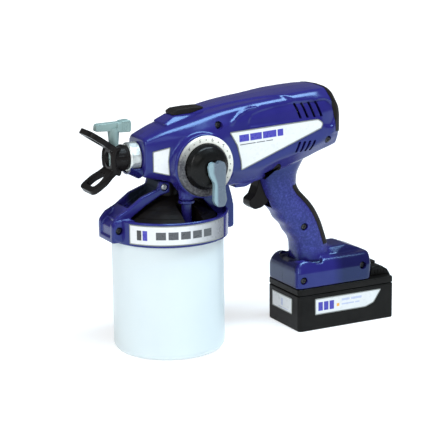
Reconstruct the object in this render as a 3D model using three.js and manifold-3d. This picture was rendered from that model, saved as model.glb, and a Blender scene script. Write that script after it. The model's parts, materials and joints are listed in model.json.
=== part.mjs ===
// A cordless handheld airless paint sprayer, in millimetres.
// Frame: origin at the centre of the paint cup's base, on the floor. +Z is up, the spray leaves
// towards -X, the battery is at +X, and the sprayer's right-hand side, with its dial, faces -Y.
// The clamshell halves meet on the plane y = 0.

import * as THREE from "three";
import { mergeVertices } from "three/addons/utils/BufferGeometryUtils.js";
import { ConvexGeometry } from "three/addons/geometries/ConvexGeometry.js";
import Module from "manifold-3d";

const wasm = await Module();
wasm.setup();

// ---------------------------------------------------------------- driving dimensions

const GAP = 0.3; // between pieces that touch
const WALL = 2.6; // moulded housing wall
const FAR = 300; // past every piece, for cuts that go right through

const CUP = { radius: 51.5, height: 116, wall: 1.8, floor: 2.4, edge: 4 };
const COLLAR = { outer: 56, inner: 52.1, bottom: 106.3, top: 128.4, ledge: 46 };
const LID = { bottom: 117.9, top: 121.2, radius: 51.4 };
const SPRAY_Z = 181.5; // height of the spray axis, which runs along X
const TIP_X = -51.3; // the reversible tip's upright axis
const DIAL = { x: 22.6, z: 172.8, ring: 27.8, knob: 20.8, face: 34.3 };
const RETURN = { x: 7, y: -26 }; // upright return tube below the dial
const PIVOT = { x: 99, z: 146, pin: 2 }; // trigger pivot
const GEAR = { teeth: 24, pinionTeeth: 8, module: 1.5, x0: 52, x1: 59.5 };
const SHAFT_Z = SPRAY_Z; // wobble drive axis
const MOTOR_Z = SHAFT_Z + (GEAR.module * (GEAR.teeth + GEAR.pinionTeeth)) / 2;
const MOTOR = { radius: 17.2, x0: 66, x1: 128 };
const BATTERY = { x0: 122, x1: 230, bulge: 7, half: 30, top: 41.6, split: 35 };
const RAIL = { x0: 132, x1: 204, half: 17.5, top: 47 };
const CELL = { radius: 9, length: 65, x0: 127.5 };
const SCREW = { head: 3.1, headDepth: 2.6, shank: 1.7 };

// ---------------------------------------------------------------- colours

const paint = (color, roughness, metalness = 0) =>
  new THREE.MeshStandardMaterial({ color, roughness, metalness });
const BLUE = paint(0x2a2796, 0.25);
const DARK_BLUE = paint(0x1f1d63, 0.3);
const BLACK = paint(0x17161a, 0.4);
const RUBBER = paint(0x1b1a1c, 0.8);
const CUP_WHITE = paint(0xe9f1f2, 0.4);
const LABEL = paint(0xf1f2f4, 0.35);
const CREAM = paint(0xebe8d8, 0.4);
const PALE_GREEN = paint(0xbccac6, 0.4);
const LEVER_GREY = paint(0x93a5b8, 0.35);
const STEEL = paint(0xc9cccd, 0.3, 1);
const ZINC = paint(0x8e9294, 0.45, 1);
const BOARD_GREEN = paint(0x1f5a38, 0.5);
const CELL_TEAL = paint(0x2f7f86, 0.4);

// ---------------------------------------------------------------- solids

// A closed geometry as a solid that can be joined and cut.
function solid(geometry) {
  const bare = new THREE.BufferGeometry();
  bare.setAttribute("position", geometry.getAttribute("position"));
  if (geometry.index) bare.setIndex(geometry.index);
  const merged = mergeVertices(bare, 1e-4);
  const index = merged.index.array;
  const kept = [];
  for (let i = 0; i < index.length; i += 3) {
    const [a, b, c] = [index[i], index[i + 1], index[i + 2]];
    if (a !== b && b !== c && c !== a) kept.push(a, b, c);
  }
  const build = (triangles) =>
    new wasm.Manifold(
      new wasm.Mesh({
        numProp: 3,
        vertProperties: merged.attributes.position.array,
        triVerts: new Uint32Array(triangles),
      }),
    );
  const made = build(kept);
  return made.volume() > 0 ? made : build(kept.reverse());
}

const PLANES = {
  XY: new THREE.Matrix4(),
  XZ: new THREE.Matrix4().makeRotationX(Math.PI / 2),
  YZ: new THREE.Matrix4().makeBasis(
    new THREE.Vector3(0, 1, 0),
    new THREE.Vector3(0, 0, 1),
    new THREE.Vector3(1, 0, 0),
  ),
};

// An outline in one plane, pushed along that plane's normal axis from one height to another.
// The bevel rounds its two rims and stays inside the outline.
function prism(outline, plane, from, to, bevel = 0) {
  const shape =
    outline instanceof THREE.Shape
      ? outline
      : new THREE.Shape(outline.map(([u, v]) => new THREE.Vector2(u, v)));
  const geometry = new THREE.ExtrudeGeometry(shape, {
    depth: to - from - 2 * bevel,
    bevelEnabled: bevel > 0,
    bevelThickness: bevel,
    bevelSize: bevel,
    bevelOffset: -bevel,
    bevelSegments: 1,
    curveSegments: 5,
  });
  geometry.applyMatrix4(PLANES[plane]);
  if (plane === "XY") geometry.translate(0, 0, from + bevel);
  if (plane === "XZ") geometry.translate(0, to - bevel, 0);
  if (plane === "YZ") geometry.translate(from + bevel, 0, 0);
  return solid(geometry);
}

const block = (low, high, bevel = 0) =>
  prism(
    [
      [low[0], low[1]],
      [high[0], low[1]],
      [high[0], high[1]],
      [low[0], high[1]],
    ],
    "XY",
    low[2],
    high[2],
    bevel,
  );

// A profile of [radius, height] pairs turned about an axis through a centre point.
function turned(profile, axis = "Z", centre = [0, 0, 0], segments = 24) {
  const points = profile.map(([r, h]) => new THREE.Vector2(r, h));
  const geometry = new THREE.LatheGeometry(points, segments);
  if (axis === "Z") geometry.rotateX(Math.PI / 2);
  if (axis === "X") geometry.rotateZ(-Math.PI / 2);
  geometry.translate(...centre);
  return solid(geometry);
}

const rod = (radius, from, to, axis, centre, segments = 16) =>
  turned(
    [
      [0, from],
      [radius, from],
      [radius, to],
      [0, to],
    ],
    axis,
    centre,
    segments,
  );

const tube = (outer, inner, from, to, axis, centre, segments = 24) =>
  turned(
    [
      [inner, from],
      [outer, from],
      [outer, to],
      [inner, to],
      [inner, from],
    ],
    axis,
    centre,
    segments,
  );

// Rings of equal length joined one to the next, with a flat cap on each end.
function loft(rings) {
  const count = rings[0].length;
  const vertices = rings.flat(2);
  const faces = [];
  for (let r = 0; r + 1 < rings.length; r += 1) {
    for (let i = 0; i < count; i += 1) {
      const a = r * count + i;
      const b = r * count + ((i + 1) % count);
      faces.push(a, b, b + count, a, b + count, a + count);
    }
  }
  const last = (rings.length - 1) * count;
  for (let i = 1; i + 1 < count; i += 1) {
    faces.push(0, i + 1, i, last, last + i, last + i + 1);
  }
  const geometry = new THREE.BufferGeometry();
  geometry.setAttribute("position", new THREE.Float32BufferAttribute(vertices, 3));
  geometry.setIndex(faces);
  return solid(geometry);
}

const hull = (points) =>
  solid(new ConvexGeometry(points.map((p) => new THREE.Vector3(...p))));

const join = (...solids) => solids.reduce((a, b) => a.add(b));
const cut = (from, ...tools) => tools.reduce((a, b) => a.subtract(b), from);

// A value read off a list of [position, value] knots, straight between them.
function along(knots, at) {
  const next = knots.findIndex(([position]) => position >= at);
  if (next === -1) return knots[knots.length - 1][1];
  if (next === 0) return knots[0][1];
  const [[p0, v0], [p1, v1]] = [knots[next - 1], knots[next]];
  return v0 + ((v1 - v0) * (at - p0)) / (p1 - p0);
}

// ---------------------------------------------------------------- the group of named meshes

const sprayer = new THREE.Group();

function add(name, shape, material) {
  const { numProp, numVert, vertProperties, triVerts } = shape.getMesh();
  const positions = new Float32Array(numVert * 3);
  for (let i = 0; i < numVert; i += 1) {
    positions.set(vertProperties.subarray(i * numProp, i * numProp + 3), i * 3);
  }
  const geometry = new THREE.BufferGeometry();
  geometry.setAttribute("position", new THREE.BufferAttribute(positions, 3));
  geometry.setIndex(new THREE.BufferAttribute(triVerts, 1));
  geometry.computeVertexNormals();
  const mesh = new THREE.Mesh(geometry, material);
  mesh.name = name;
  sprayer.add(mesh);
}

// ---------------------------------------------------------------- housing

// The motor housing's sections along X: lower edge, crease where the side meets the top, crown,
// and the half-widths at the lower edge, at the side's widest and at the crease.
const HOUSING = {
  low: [[-29, 164], [-10, 159.5], [4, 155.5], [24, 152], [45, 149.5], [80, 150], [100, 157],
    [120, 162.5], [135, 167], [150, 173.4], [160, 177.2], [166, 180]],
  crease: [[-29, 198.4], [-22, 201.8], [-10, 205.6], [4, 209.3], [24, 214.6], [45, 219.8],
    [70, 224.4], [100, 227.6], [140, 229.4], [152, 228.6], [160, 224.4], [166, 216]],
  crown: [[-29, 199], [-22, 203], [-10, 207.4], [4, 212], [24, 217.6], [45, 222], [70, 226],
    [100, 229], [140, 231.4], [152, 231], [160, 227], [166, 218.4]],
  lowHalf: [[-29, 15], [-10, 18.5], [24, 21], [60, 22], [140, 22], [166, 18]],
  half: [[-29, 18], [-10, 23.5], [4, 27.8], [24, 32.4], [45, 33.8], [143, 33.8], [155, 32],
    [166, 26]],
  creaseHalf: [[-29, 16], [4, 21.6], [24, 24], [70, 27], [140, 26], [166, 20]],
};
const HOUSING_STATIONS = [-29, -22, -10, 4, 24, 45, 70, 100, 140, 152, 160, 166];

function housingRing(x, inset) {
  const low = along(HOUSING.low, x) + inset;
  const crease = along(HOUSING.crease, x) - inset * 0.8;
  const crown = along(HOUSING.crown, x) - inset;
  const lowHalf = along(HOUSING.lowHalf, x) - inset * 0.6;
  const half = along(HOUSING.half, x) - inset;
  const creaseHalf = along(HOUSING.creaseHalf, x) - inset * 0.8;
  const rise = crease - low;
  const side = [
    [creaseHalf * 0.5, crown - (crown - crease) * 0.25],
    [creaseHalf, crease],
    [half - (half - creaseHalf) * 0.25, crease - rise * 0.16],
    [half, crease - rise * 0.3],
    [half, low + rise * 0.26],
    [half - (half - lowHalf) * 0.3, low + rise * 0.1],
    [lowHalf, low],
  ];
  const right = side.map(([y, z]) => [x, -y, z]);
  const left = side.map(([y, z]) => [x, y, z]).reverse();
  return [[x, 0, crown], ...right, ...left];
}

const housingSolid = (inset) => {
  const stations = HOUSING_STATIONS.slice();
  stations[0] += inset;
  stations[stations.length - 1] -= inset;
  return loft(stations.map((x) => housingRing(x, inset)));
};

// The handle's level sections: front edge, back edge and half-width at each height.
const HANDLE = {
  front: [[64, 132.4], [80, 131.6], [88, 128], [98, 121], [108, 113.2], [118, 106.2], [128, 100.2],
    [141, 94.6], [150, 92], [168, 92]],
  back: [[64, 171], [80, 165.6], [88, 163.2], [98, 160], [108, 155.6], [118, 149.4], [128, 140.4],
    [133, 135.6], [141, 131.6], [150, 132.4], [160, 137.4], [168, 143]],
  half: [[64, 21], [80, 18.2], [118, 18.6], [150, 19], [168, 20]],
};
const HANDLE_HEIGHTS = [64, 80, 88, 98, 108, 118, 128, 133, 141, 150, 168];
const HANDLE_CORNERS = 10;

function handleRing(z, inset) {
  const front = along(HANDLE.front, z) + inset;
  const back = along(HANDLE.back, z) - inset;
  const half = along(HANDLE.half, z) - inset;
  const ring = [];
  for (let i = 0; i < HANDLE_CORNERS; i += 1) {
    const angle = ((i + 0.5) * 2 * Math.PI) / HANDLE_CORNERS;
    const squared = (v) => Math.sign(v) * Math.abs(v) ** 0.72;
    ring.push([
      (front + back) / 2 + (squared(Math.cos(angle)) * (back - front)) / 2,
      squared(Math.sin(angle)) * half,
      z,
    ]);
  }
  return ring;
}

const handleSolid = (inset) => loft(HANDLE_HEIGHTS.map((z) => handleRing(z, inset)));

// The foot that the battery slides under, with a raised block behind the handle.
function footSolid() {
  const pairs = (x, y, z) => [[x, y, z], [x, -y, z]];
  const base = hull([
    ...pairs(121.4, 25, 42), ...pairs(124.6, 29.4, 42), ...pairs(202, 29.4, 42),
    ...pairs(121.4, 25, 58), ...pairs(124.6, 29.4, 56), ...pairs(204, 29.4, 56),
    ...pairs(123.4, 23, 65.4), ...pairs(128, 24, 68), ...pairs(150, 24, 68), ...pairs(205, 22, 60),
  ]);
  const raised = hull([
    ...pairs(152, 20, 60), ...pairs(207, 20, 55), ...pairs(160, 13, 75), ...pairs(184, 13, 75.4),
    ...pairs(201, 14, 68.4), ...pairs(207, 15, 61.5), ...pairs(170, 19, 68),
  ]);
  return join(base, raised);
}

const backStrip = (depth, half) => {
  const knots = HANDLE.back.filter(([z]) => z >= 80 && z <= 141);
  const outer = knots.map(([z, x]) => [x + 4, z]);
  const inner = knots.map(([z, x]) => [x - depth, z]).reverse();
  return prism([...outer, ...inner], "XZ", -half, half);
};

// Where the five housing screws go, with how deep each head sits below the right-hand side.
const HOUSING_SCREWS = [
  { name: "housing_screw_front", x: 38.3, z: 207.8, face: 28.6, reach: 16 },
  { name: "housing_screw_rear", x: 152.4, z: 184, face: 31, reach: 16 },
  { name: "handle_screw", x: 135, z: 99.6, face: 17.2, reach: 10 },
  { name: "foot_screw_front", x: 128, z: 50, face: 28.6, reach: 20 },
  { name: "foot_screw_rear", x: 193.7, z: 56.6, face: 26.8, reach: 20 },
];

const screwSolid = ({ x, z, face, reach }, slack = 0) =>
  join(
    rod(
      SCREW.head + slack, -face - (slack ? 12 : 0), -face + SCREW.headDepth + slack, "Y", [x, 0, z], 10,
    ),
    rod(SCREW.shank + slack, -face, reach + slack, "Y", [x, 0, z], 8),
  );

const bossSolid = ({ x, z, face, reach }) =>
  rod(SCREW.head + 2.2, -face + 0.5, reach + 3, "Y", [x, 0, z], 10);

// A slanted slot through one side wall.
function slantedSlot(x, z, length, lean, side) {
  const half = 1.5;
  const outline = [
    [x - half, z],
    [x + half, z],
    [x + half + lean, z + length],
    [x - half + lean, z + length],
  ];
  return side < 0 ? prism(outline, "XZ", -40, -26) : prism(outline, "XZ", 26, 40);
}

function ventSlots() {
  const slots = [];
  for (const side of [-1, 1]) {
    for (let i = 0; i < 4; i += 1) {
      slots.push(slantedSlot(120 + i * 6, 208, 14, -5, side));
      slots.push(slantedSlot(114 + i * 6, 174, 10, 4, side));
    }
  }
  return slots;
}

function housingShells() {
  const dial = [DIAL.x, 0, DIAL.z];
  const pad = rod(DIAL.ring + 1.4, -DIAL.face + GAP, -19, "Y", dial, 24);
  const returnAxis = [RETURN.x, RETURN.y, 0];
  const socket = rod(7, 142.3, 165, "Z", returnAxis, 16);
  const outer = join(housingSolid(0), padSeat(), handleSolid(0), footSolid(), pad, socket);
  const cavity = join(
    housingSolid(WALL),
    handleSolid(WALL),
    block([125, -25, 45], [198, 25, 60]),
    block([158, -12, 55], [200, 12, 66]),
    rod(DIAL.ring - 1.2, -DIAL.face + WALL, -10, "Y", dial, 24),
  );
  const bosses = HOUSING_SCREWS.map(bossSolid).map((boss) => boss.intersect(outer));
  const full = cut(
    join(cut(outer, cavity), ...bosses),
    ...HOUSING_SCREWS.map((screw) => screwSolid(screw, GAP)),
    ...ventSlots(),
    backStrip(4, 12.3),
    // the spray outlet, the pump inlet and the dial's spindle
    rod(9.4, -40, -20, "X", [0, 0, SPRAY_Z], 24),
    rod(11.4, 140, 175, "Z", [0, 0, 0], 24),
    rod(9.2, -40, -10, "Y", dial, 20),
    rod(4.9, 140, 156, "Z", returnAxis, 16),
    rod(4.3, -7, 11.1, "Y", [PIVOT.x, 0, PIVOT.z], 16),
    // the trigger's mouth and pivot, and the lock bolt's slot
    block([80, -7.6, 114], [112, 7.6, 153]),
    rod(PIVOT.pin + GAP, -11.8, 12.8, "Y", [PIVOT.x, 0, PIVOT.z], 12),
    lockBolt(GAP, -45, 45),
    // the battery's way in under the foot
    block([128, -RAIL.half - 0.8, 41], [220, RAIL.half + 0.8, RAIL.top + 0.6]),
  );
  const right = full.intersect(block([-FAR, -FAR, 0], [FAR, -GAP / 2, FAR]));
  const left = full.intersect(block([-FAR, GAP / 2, 0], [FAR, FAR, FAR]));
  add("housing_right", largest(right), BLUE);
  add("housing_left", largest(left), BLUE);
  HOUSING_SCREWS.forEach((screw) => add(screw.name, screwSolid(screw), ZINC));
}

// The biggest of a solid's separate pieces, so that slivers left by cuts are dropped.
const largest = (shape) =>
  shape.decompose().reduce((a, b) => (a.volume() >= b.volume() ? a : b));

// The shroud under the guard nut, fastened to the housing's front face.
function noseShroud() {
  const cone = turned(
    [[13.8, -39.5], [15, -39.5], [20.5, -29.3], [13.8, -29.3], [13.8, -39.5]],
    "X",
    [0, 0, SPRAY_Z],
    28,
  );
  const kept = block([-45, -13.6, 140], [-20, 13.6, SPRAY_Z - 9]);
  add("nose_shroud", cone.intersect(kept), DARK_BLUE);
}

// The raised seat on the nose's top, and the rubber pad on it, which meets the crown at its rear.
const PAD = { x0: 4, x1: 34, half: 8.4, seat: 216.4 };

function padSeat() {
  const { x0, x1, half, seat } = PAD;
  const pairs = (x, y, z) => [[x, y, z], [x, -y, z]];
  return hull([
    ...pairs(x0 - 0.6, half + 0.6, seat), ...pairs(x1, half + 0.6, seat), ...pairs(x0 - 13, 17, 204),
    ...pairs(18, 19, 211), ...pairs(x1, 12, 215),
  ]);
}

function topInsert() {
  const { x0, x1, half, seat } = PAD;
  const lift = (x) => along(HOUSING.crown, x) + GAP;
  const outline = [
    [x0, seat + GAP],
    [20, seat + GAP],
    [24, lift(24)],
    [x1, lift(x1)],
    [x1, lift(x1) + 2.4],
    [20, 221.8],
    [x0 + 4, 221.2],
    [x0, 219.4],
  ];
  add("top_insert", prism(outline, "XZ", -half, half, 0.3), RUBBER);
}

function rearCap() {
  const outline = [[166.3, 188], [170.6, 189.5], [171.4, 200], [169.6, 213], [166.3, 218.6]];
  add("rear_cap", prism(outline, "XZ", -20, 20, 1.2), BLACK);
}

function gripStrip() {
  const strip = handleSolid(0).intersect(backStrip(4 - GAP, 12));
  add("grip_strip", largest(strip), RUBBER);
}

// ---------------------------------------------------------------- labels

const LABEL_THICK = 0.5;

function labels() {
  const face = 33.8 + GAP;
  const side = new THREE.Shape();
  side.moveTo(47.5, 201);
  side.lineTo(140, 205);
  side.quadraticCurveTo(146, 202, 143.5, 196);
  side.lineTo(59, 165);
  side.quadraticCurveTo(59, 184, 47.5, 201);
  add("side_label", prism(side, "XZ", -face - LABEL_THICK, -face), LABEL);

  const front = [[-9, 11], [-9, -7.5], [6.2, -11.4], [5.4, 2], [7, 14.4]];
  const plate = prism(front, "XZ", -LABEL_THICK, 0);
  const turn = new THREE.Matrix4()
    .makeTranslation(-14, -along(HOUSING.half, -14) - 1, 177)
    .multiply(new THREE.Matrix4().makeRotationZ(-Math.atan2(5.3, 18)));
  add("front_label", plate.transform(turn.elements), LABEL);

  const band = new THREE.Shape();
  const [from, to] = [-2.66, -0.9];
  band.absarc(0, 0, COLLAR.outer + GAP + LABEL_THICK, from, to, false);
  band.absarc(0, 0, COLLAR.outer + GAP, to, from, true);
  add("collar_label", prism(band, "XY", 108.6, 126.6), LABEL);
}

// ---------------------------------------------------------------- controls

function triggerSolid() {
  const outline = new THREE.Shape();
  outline.moveTo(87, 143);
  outline.quadraticCurveTo(84.5, 138, 84.6, 134);
  outline.quadraticCurveTo(81, 128, 84.5, 123);
  outline.quadraticCurveTo(89, 119.5, 95, 121.5);
  outline.lineTo(101, 125);
  outline.lineTo(105, 134);
  outline.lineTo(105, 149);
  outline.lineTo(92, 149);
  outline.closePath();
  return cut(
    prism(outline, "XZ", -7, 7, 1.5),
    rod(PIVOT.pin + GAP, -20, 20, "Y", [PIVOT.x, 0, PIVOT.z], 12),
  );
}

const lockBolt = (slack, from, to) => {
  const [half, reach, lean] = [3 + slack, 7, 0.42];
  const outline = new THREE.Shape();
  const [ux, uz] = [Math.cos(lean), Math.sin(lean)];
  outline.absarc(94 - reach * ux, 158.5 - reach * uz, half, lean + Math.PI / 2, lean + Math.PI * 1.5, false);
  outline.absarc(94 + reach * ux, 158.5 + reach * uz, half, lean - Math.PI / 2, lean + Math.PI / 2, false);
  return prism(outline, "XZ", from, to);
};

function controls() {
  add("trigger", triggerSolid(), BLACK);
  add("trigger_pin", rod(PIVOT.pin, -11.5, 12.5, "Y", [PIVOT.x, 0, PIVOT.z], 12), STEEL);
  const coil = tube(4, PIVOT.pin + GAP, 7.8, 10.8, "Y", [PIVOT.x, 0, PIVOT.z], 16);
  const leg = block([PIVOT.x + 2.6, 9.4, PIVOT.z - 9], [PIVOT.x + 3.8, 10.5, PIVOT.z]);
  add("trigger_spring", join(coil, leg), STEEL);
  const plunger = block([108.6, -2.4, 126], [112, 2.4, 131]);
  add("trigger_switch", join(block([112, -7, 121], [126.4, 7, 138]), plunger), BLACK);
  add("trigger_lock", lockBolt(0, -26.5, 22.5), BLACK);

  const centre = [DIAL.x, 0, DIAL.z];
  const face = DIAL.face;
  add("dial_ring", tube(DIAL.ring, DIAL.knob + GAP, -face - 2, -face, "Y", centre, 32), CREAM);
  const drum = turned(
    [[0, -47.4], [11, -47.4], [17, -45.8], [20, -42], [DIAL.knob, -37], [DIAL.knob, -face - 0.4],
      [4, -face - 0.4], [4, -20], [0, -20]],
    "Y",
    centre,
    28,
  );
  const bore = rod(2.6, -60, -26, "Y", centre, 12);
  add("pressure_knob", cut(drum, bore), BLACK);
  add("prime_valve", tube(8.8, 4 + GAP, -31, -19, "Y", centre, 20), ZINC);
  add("prime_lever", leverSolid(), LEVER_GREY);
}

// A two-lobed head on the dial's axis, a neck, and a tail that widens downwards.
function leverSolid() {
  const { x, z } = DIAL;
  const outline = new THREE.Shape();
  outline.moveTo(x - 5.3, z + 3.2);
  outline.quadraticCurveTo(x - 2.3, z + 7.2, x + 2, z + 4.2);
  outline.quadraticCurveTo(x + 6.7, z + 8.2, x + 10.7, z + 3.2);
  outline.quadraticCurveTo(x + 12.2, z - 3.8, x + 10.4, z - 9.8);
  outline.lineTo(x + 10.2, z - 17.8);
  outline.lineTo(x + 12.2, z - 27.8);
  outline.quadraticCurveTo(x + 9.7, z - 34.3, x + 3.2, z - 34.3);
  outline.quadraticCurveTo(x - 0.4, z - 33.3, x - 0.8, z - 27.8);
  outline.lineTo(x - 0.2, z - 12.8);
  outline.quadraticCurveTo(x - 5.8, z - 4.8, x - 5.3, z + 3.2);
  const plate = prism(outline, "XZ", -53.2, -47.4 - GAP, 1.2);
  return join(plate, rod(2.2, -48, -30, "Y", [x, 0, z], 12));
}

// ---------------------------------------------------------------- spray head

// One flat loop of the guard, leaning up (+1) or down (-1) from the spray axis.
function guardWing(direction) {
  const loop = new THREE.Shape();
  loop.moveTo(0, -11);
  loop.lineTo(18, -15);
  loop.quadraticCurveTo(33.6, -13.6, 33.6, 0);
  loop.quadraticCurveTo(33.6, 13.6, 18, 15);
  loop.lineTo(0, 11);
  const hole = new THREE.Path();
  hole.moveTo(9, -8);
  hole.lineTo(18, -10.6);
  hole.quadraticCurveTo(29, -9.6, 29, 0);
  hole.quadraticCurveTo(29, 9.6, 18, 10.6);
  hole.lineTo(9, 8);
  loop.holes.push(hole);
  const plate = prism(loop, "XY", -2.4, 2.4);
  const lean = new THREE.Matrix4()
    .makeTranslation(-53, 0, SPRAY_Z + direction * 9.2)
    .multiply(new THREE.Matrix4().makeRotationY(Math.PI + direction * 0.49));
  return plate.transform(lean.elements);
}

function sprayHead() {
  const centre = [0, 0, SPRAY_Z];
  const barrel = turned(
    [[0, -57.4], [9.4, -57.4], [11.6, -54.6], [12.2, -44], [11, -40.6], [0, -40.6]],
    "X",
    centre,
    20,
  );
  const guard = cut(
    join(barrel, guardWing(1), guardWing(-1)),
    rod(5, -70, -35, "X", centre, 20),
    rod(5, SPRAY_Z - 11, SPRAY_Z + 30, "Z", [TIP_X, 0, 0], 20),
    rod(6.4, -60, -55, "X", centre, 18),
  );
  add("tip_guard", guard, BLACK);

  const stem = turned(
    [[0, 171.2], [4.6, 171.2], [4.6, 193], [3.9, 193.6], [4.5, 204], [4.5, 209], [0, 209]],
    "Z",
    [TIP_X, 0, 0],
    20,
  );
  const arm = rod(3.4, TIP_X - 18.4, TIP_X + 8, "X", [0, 0, 211], 12);
  const ribbed = block([TIP_X + 4, -5, 205], [TIP_X + 15.8, 5, 215.8], 1);
  const orifice = rod(1, TIP_X - 8, TIP_X + 8, "X", centre, 10);
  add("spray_tip", cut(join(stem, arm, ribbed), orifice), PALE_GREEN);

  add("tip_seal", tube(4.6, 1.4, -46.3, -43.4, "X", centre, 20), STEEL);
  const nut = new THREE.Shape();
  for (let i = 0; i < 12; i += 1) {
    const radius = i % 2 ? 13.4 : 12.8;
    const angle = (i * Math.PI) / 6;
    const [u, v] = [radius * Math.cos(angle), radius * Math.sin(angle)];
    if (i === 0) nut.moveTo(u, v);
    else nut.lineTo(u, v);
  }
  const nutSolid = prism(nut, "YZ", -40.2, -29.3, 0.8).translate(0, 0, SPRAY_Z);
  add("guard_nut", cut(nutSolid, rod(8.6, -50, -20, "X", centre, 18)), STEEL);
  const fitting = turned(
    [[1.6, -43], [4.6, -43], [4.6, -40], [8.2, -39.6], [8.2, -22], [6, -22], [6, -7.6], [1.6, -7.6],
      [1.6, -43]],
    "X",
    centre,
    20,
  );
  add("outlet_fitting", fitting, STEEL);
}

// ---------------------------------------------------------------- pump and drive

const PISTON = { radius: 3.6, circle: 10, x0: 10, x1: 43, count: 3 };

const pistonAxis = (i) => {
  const angle = Math.PI / 2 + (i * 2 * Math.PI) / PISTON.count;
  return [0, PISTON.circle * Math.cos(angle), SHAFT_Z + PISTON.circle * Math.sin(angle)];
};

function gearOutline(teeth, pitch, phase) {
  const shape = new THREE.Shape();
  const step = (2 * Math.PI) / teeth;
  const [root, tip] = [pitch - 1.7, pitch + 1.2];
  const corners = [[-0.3, root], [-0.13, tip], [0.13, tip], [0.3, root]];
  for (let i = 0; i < teeth; i += 1) {
    corners.forEach(([share, radius], k) => {
      const angle = phase + (i + share) * step;
      const [u, v] = [radius * Math.cos(angle), radius * Math.sin(angle)];
      if (i === 0 && k === 0) shape.moveTo(u, v);
      else shape.lineTo(u, v);
    });
  }
  return shape;
}

function pumpAndDrive() {
  const pumpBody = rod(17, -7, 26, "X", [0, 0, SHAFT_Z], 20);
  const bores = [...Array(PISTON.count).keys()].map((i) =>
    rod(PISTON.radius + GAP, PISTON.x0 - 4.6, 30, "X", pistonAxis(i), 10),
  );
  const inletPort = rod(4, SHAFT_Z - 30, SHAFT_Z, "Z", [0, 0, 0], 16);
  add("pump_block", cut(pumpBody, ...bores, inletPort), ZINC);
  for (let i = 0; i < PISTON.count; i += 1) {
    const piston = rod(PISTON.radius, PISTON.x0, PISTON.x1, "X", pistonAxis(i), 10);
    add(`piston_${i + 1}`, piston, STEEL);
  }
  const hub = [0, 0, SHAFT_Z];
  add("wobble_plate", tube(15.5, 5.6, 43.4, 48.4, "X", hub, 20), STEEL);

  const gear = prism(
    gearOutline(GEAR.teeth, (GEAR.module * GEAR.teeth) / 2, Math.PI / 2 + Math.PI / GEAR.teeth),
    "YZ", GEAR.x0, GEAR.x1,
  ).translate(0, 0, SHAFT_Z);
  add("drive_gear", join(gear, rod(5.2, 34, 66, "X", hub, 16)), ZINC);

  const plate = prism(
    [[-22, 164], [22, 164], [22, 212], [12, 220], [-12, 220], [-22, 212]], "YZ", 60.4, 63.4,
  );
  const motorAxis = [0, 0, MOTOR_Z];
  add("gear_plate", cut(plate, rod(5.6, 50, 70, "X", hub, 16), rod(8, 50, 70, "X", motorAxis, 16)), ZINC);

  const can = turned(
    [[5, MOTOR.x0], [MOTOR.radius, MOTOR.x0], [MOTOR.radius, MOTOR.x1], [5, MOTOR.x1], [5, MOTOR.x1 - 2],
      [MOTOR.radius - 2, MOTOR.x1 - 2], [MOTOR.radius - 2, MOTOR.x0 + 2], [5, MOTOR.x0 + 2], [5, MOTOR.x0]],
    "X", motorAxis, 20,
  );
  add("motor_can", can, STEEL);
  const rotor = turned(
    [[0, 64], [2.4, 64], [2.4, MOTOR.x0 + 6], [13, MOTOR.x0 + 6], [13, MOTOR.x1 - 8], [2.4, MOTOR.x1 - 8],
      [2.4, MOTOR.x1 + 2], [0, MOTOR.x1 + 2]],
    "X", motorAxis, 16,
  );
  const pinion = prism(
    gearOutline(GEAR.pinionTeeth, (GEAR.module * GEAR.pinionTeeth) / 2, -Math.PI / 2),
    "YZ", GEAR.x0, GEAR.x1,
  ).translate(0, 0, MOTOR_Z);
  add("motor_rotor", join(rotor, pinion, rod(3.6, GEAR.x1, 64.5, "X", motorAxis, 16)), ZINC);
  add("control_board", block([131, -15, 196], [160, 15, 197.6]), BOARD_GREEN);
  add("terminal_block", block([140, -12, 49], [160, 12, 57]), BLACK);
}

// ---------------------------------------------------------------- cup and its collar

function frontArm() {
  const outline = [
    [-61.5, 107.5], [-61.5, 124], [-58, 131], [-46, 135.8], [-32, 145.8], [-15, 151.6],
    [-13.4, 158.8], [-4, 157], [-4, 148.5], [-13, 146.5], [-28, 139], [-41, 130.5],
    [-46, 127], [-48.5, 122], [-48.5, 107.5],
  ];
  const inlet = rod(11.6, 120, 175, "Z", [0, 0, 0], 20);
  return cut(prism(outline, "XZ", -16.5, 16.5, 1.5), inlet);
}

const rearArm = () =>
  prism(
    [[48, 108], [62, 108], [62, 128], [60, 138], [57, 148.6], [45, 148.6], [47, 138], [49, 128]],
    "XZ", -14, 14, 1.5,
  );

const COLLAR_SCREWS = [
  { name: "collar_screw", x: -55.6, z: 119, face: 16, reach: -4 },
  { name: "arm_screw", x: -9.6, z: 153.6, face: 16, reach: -11.8 },
];

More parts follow.
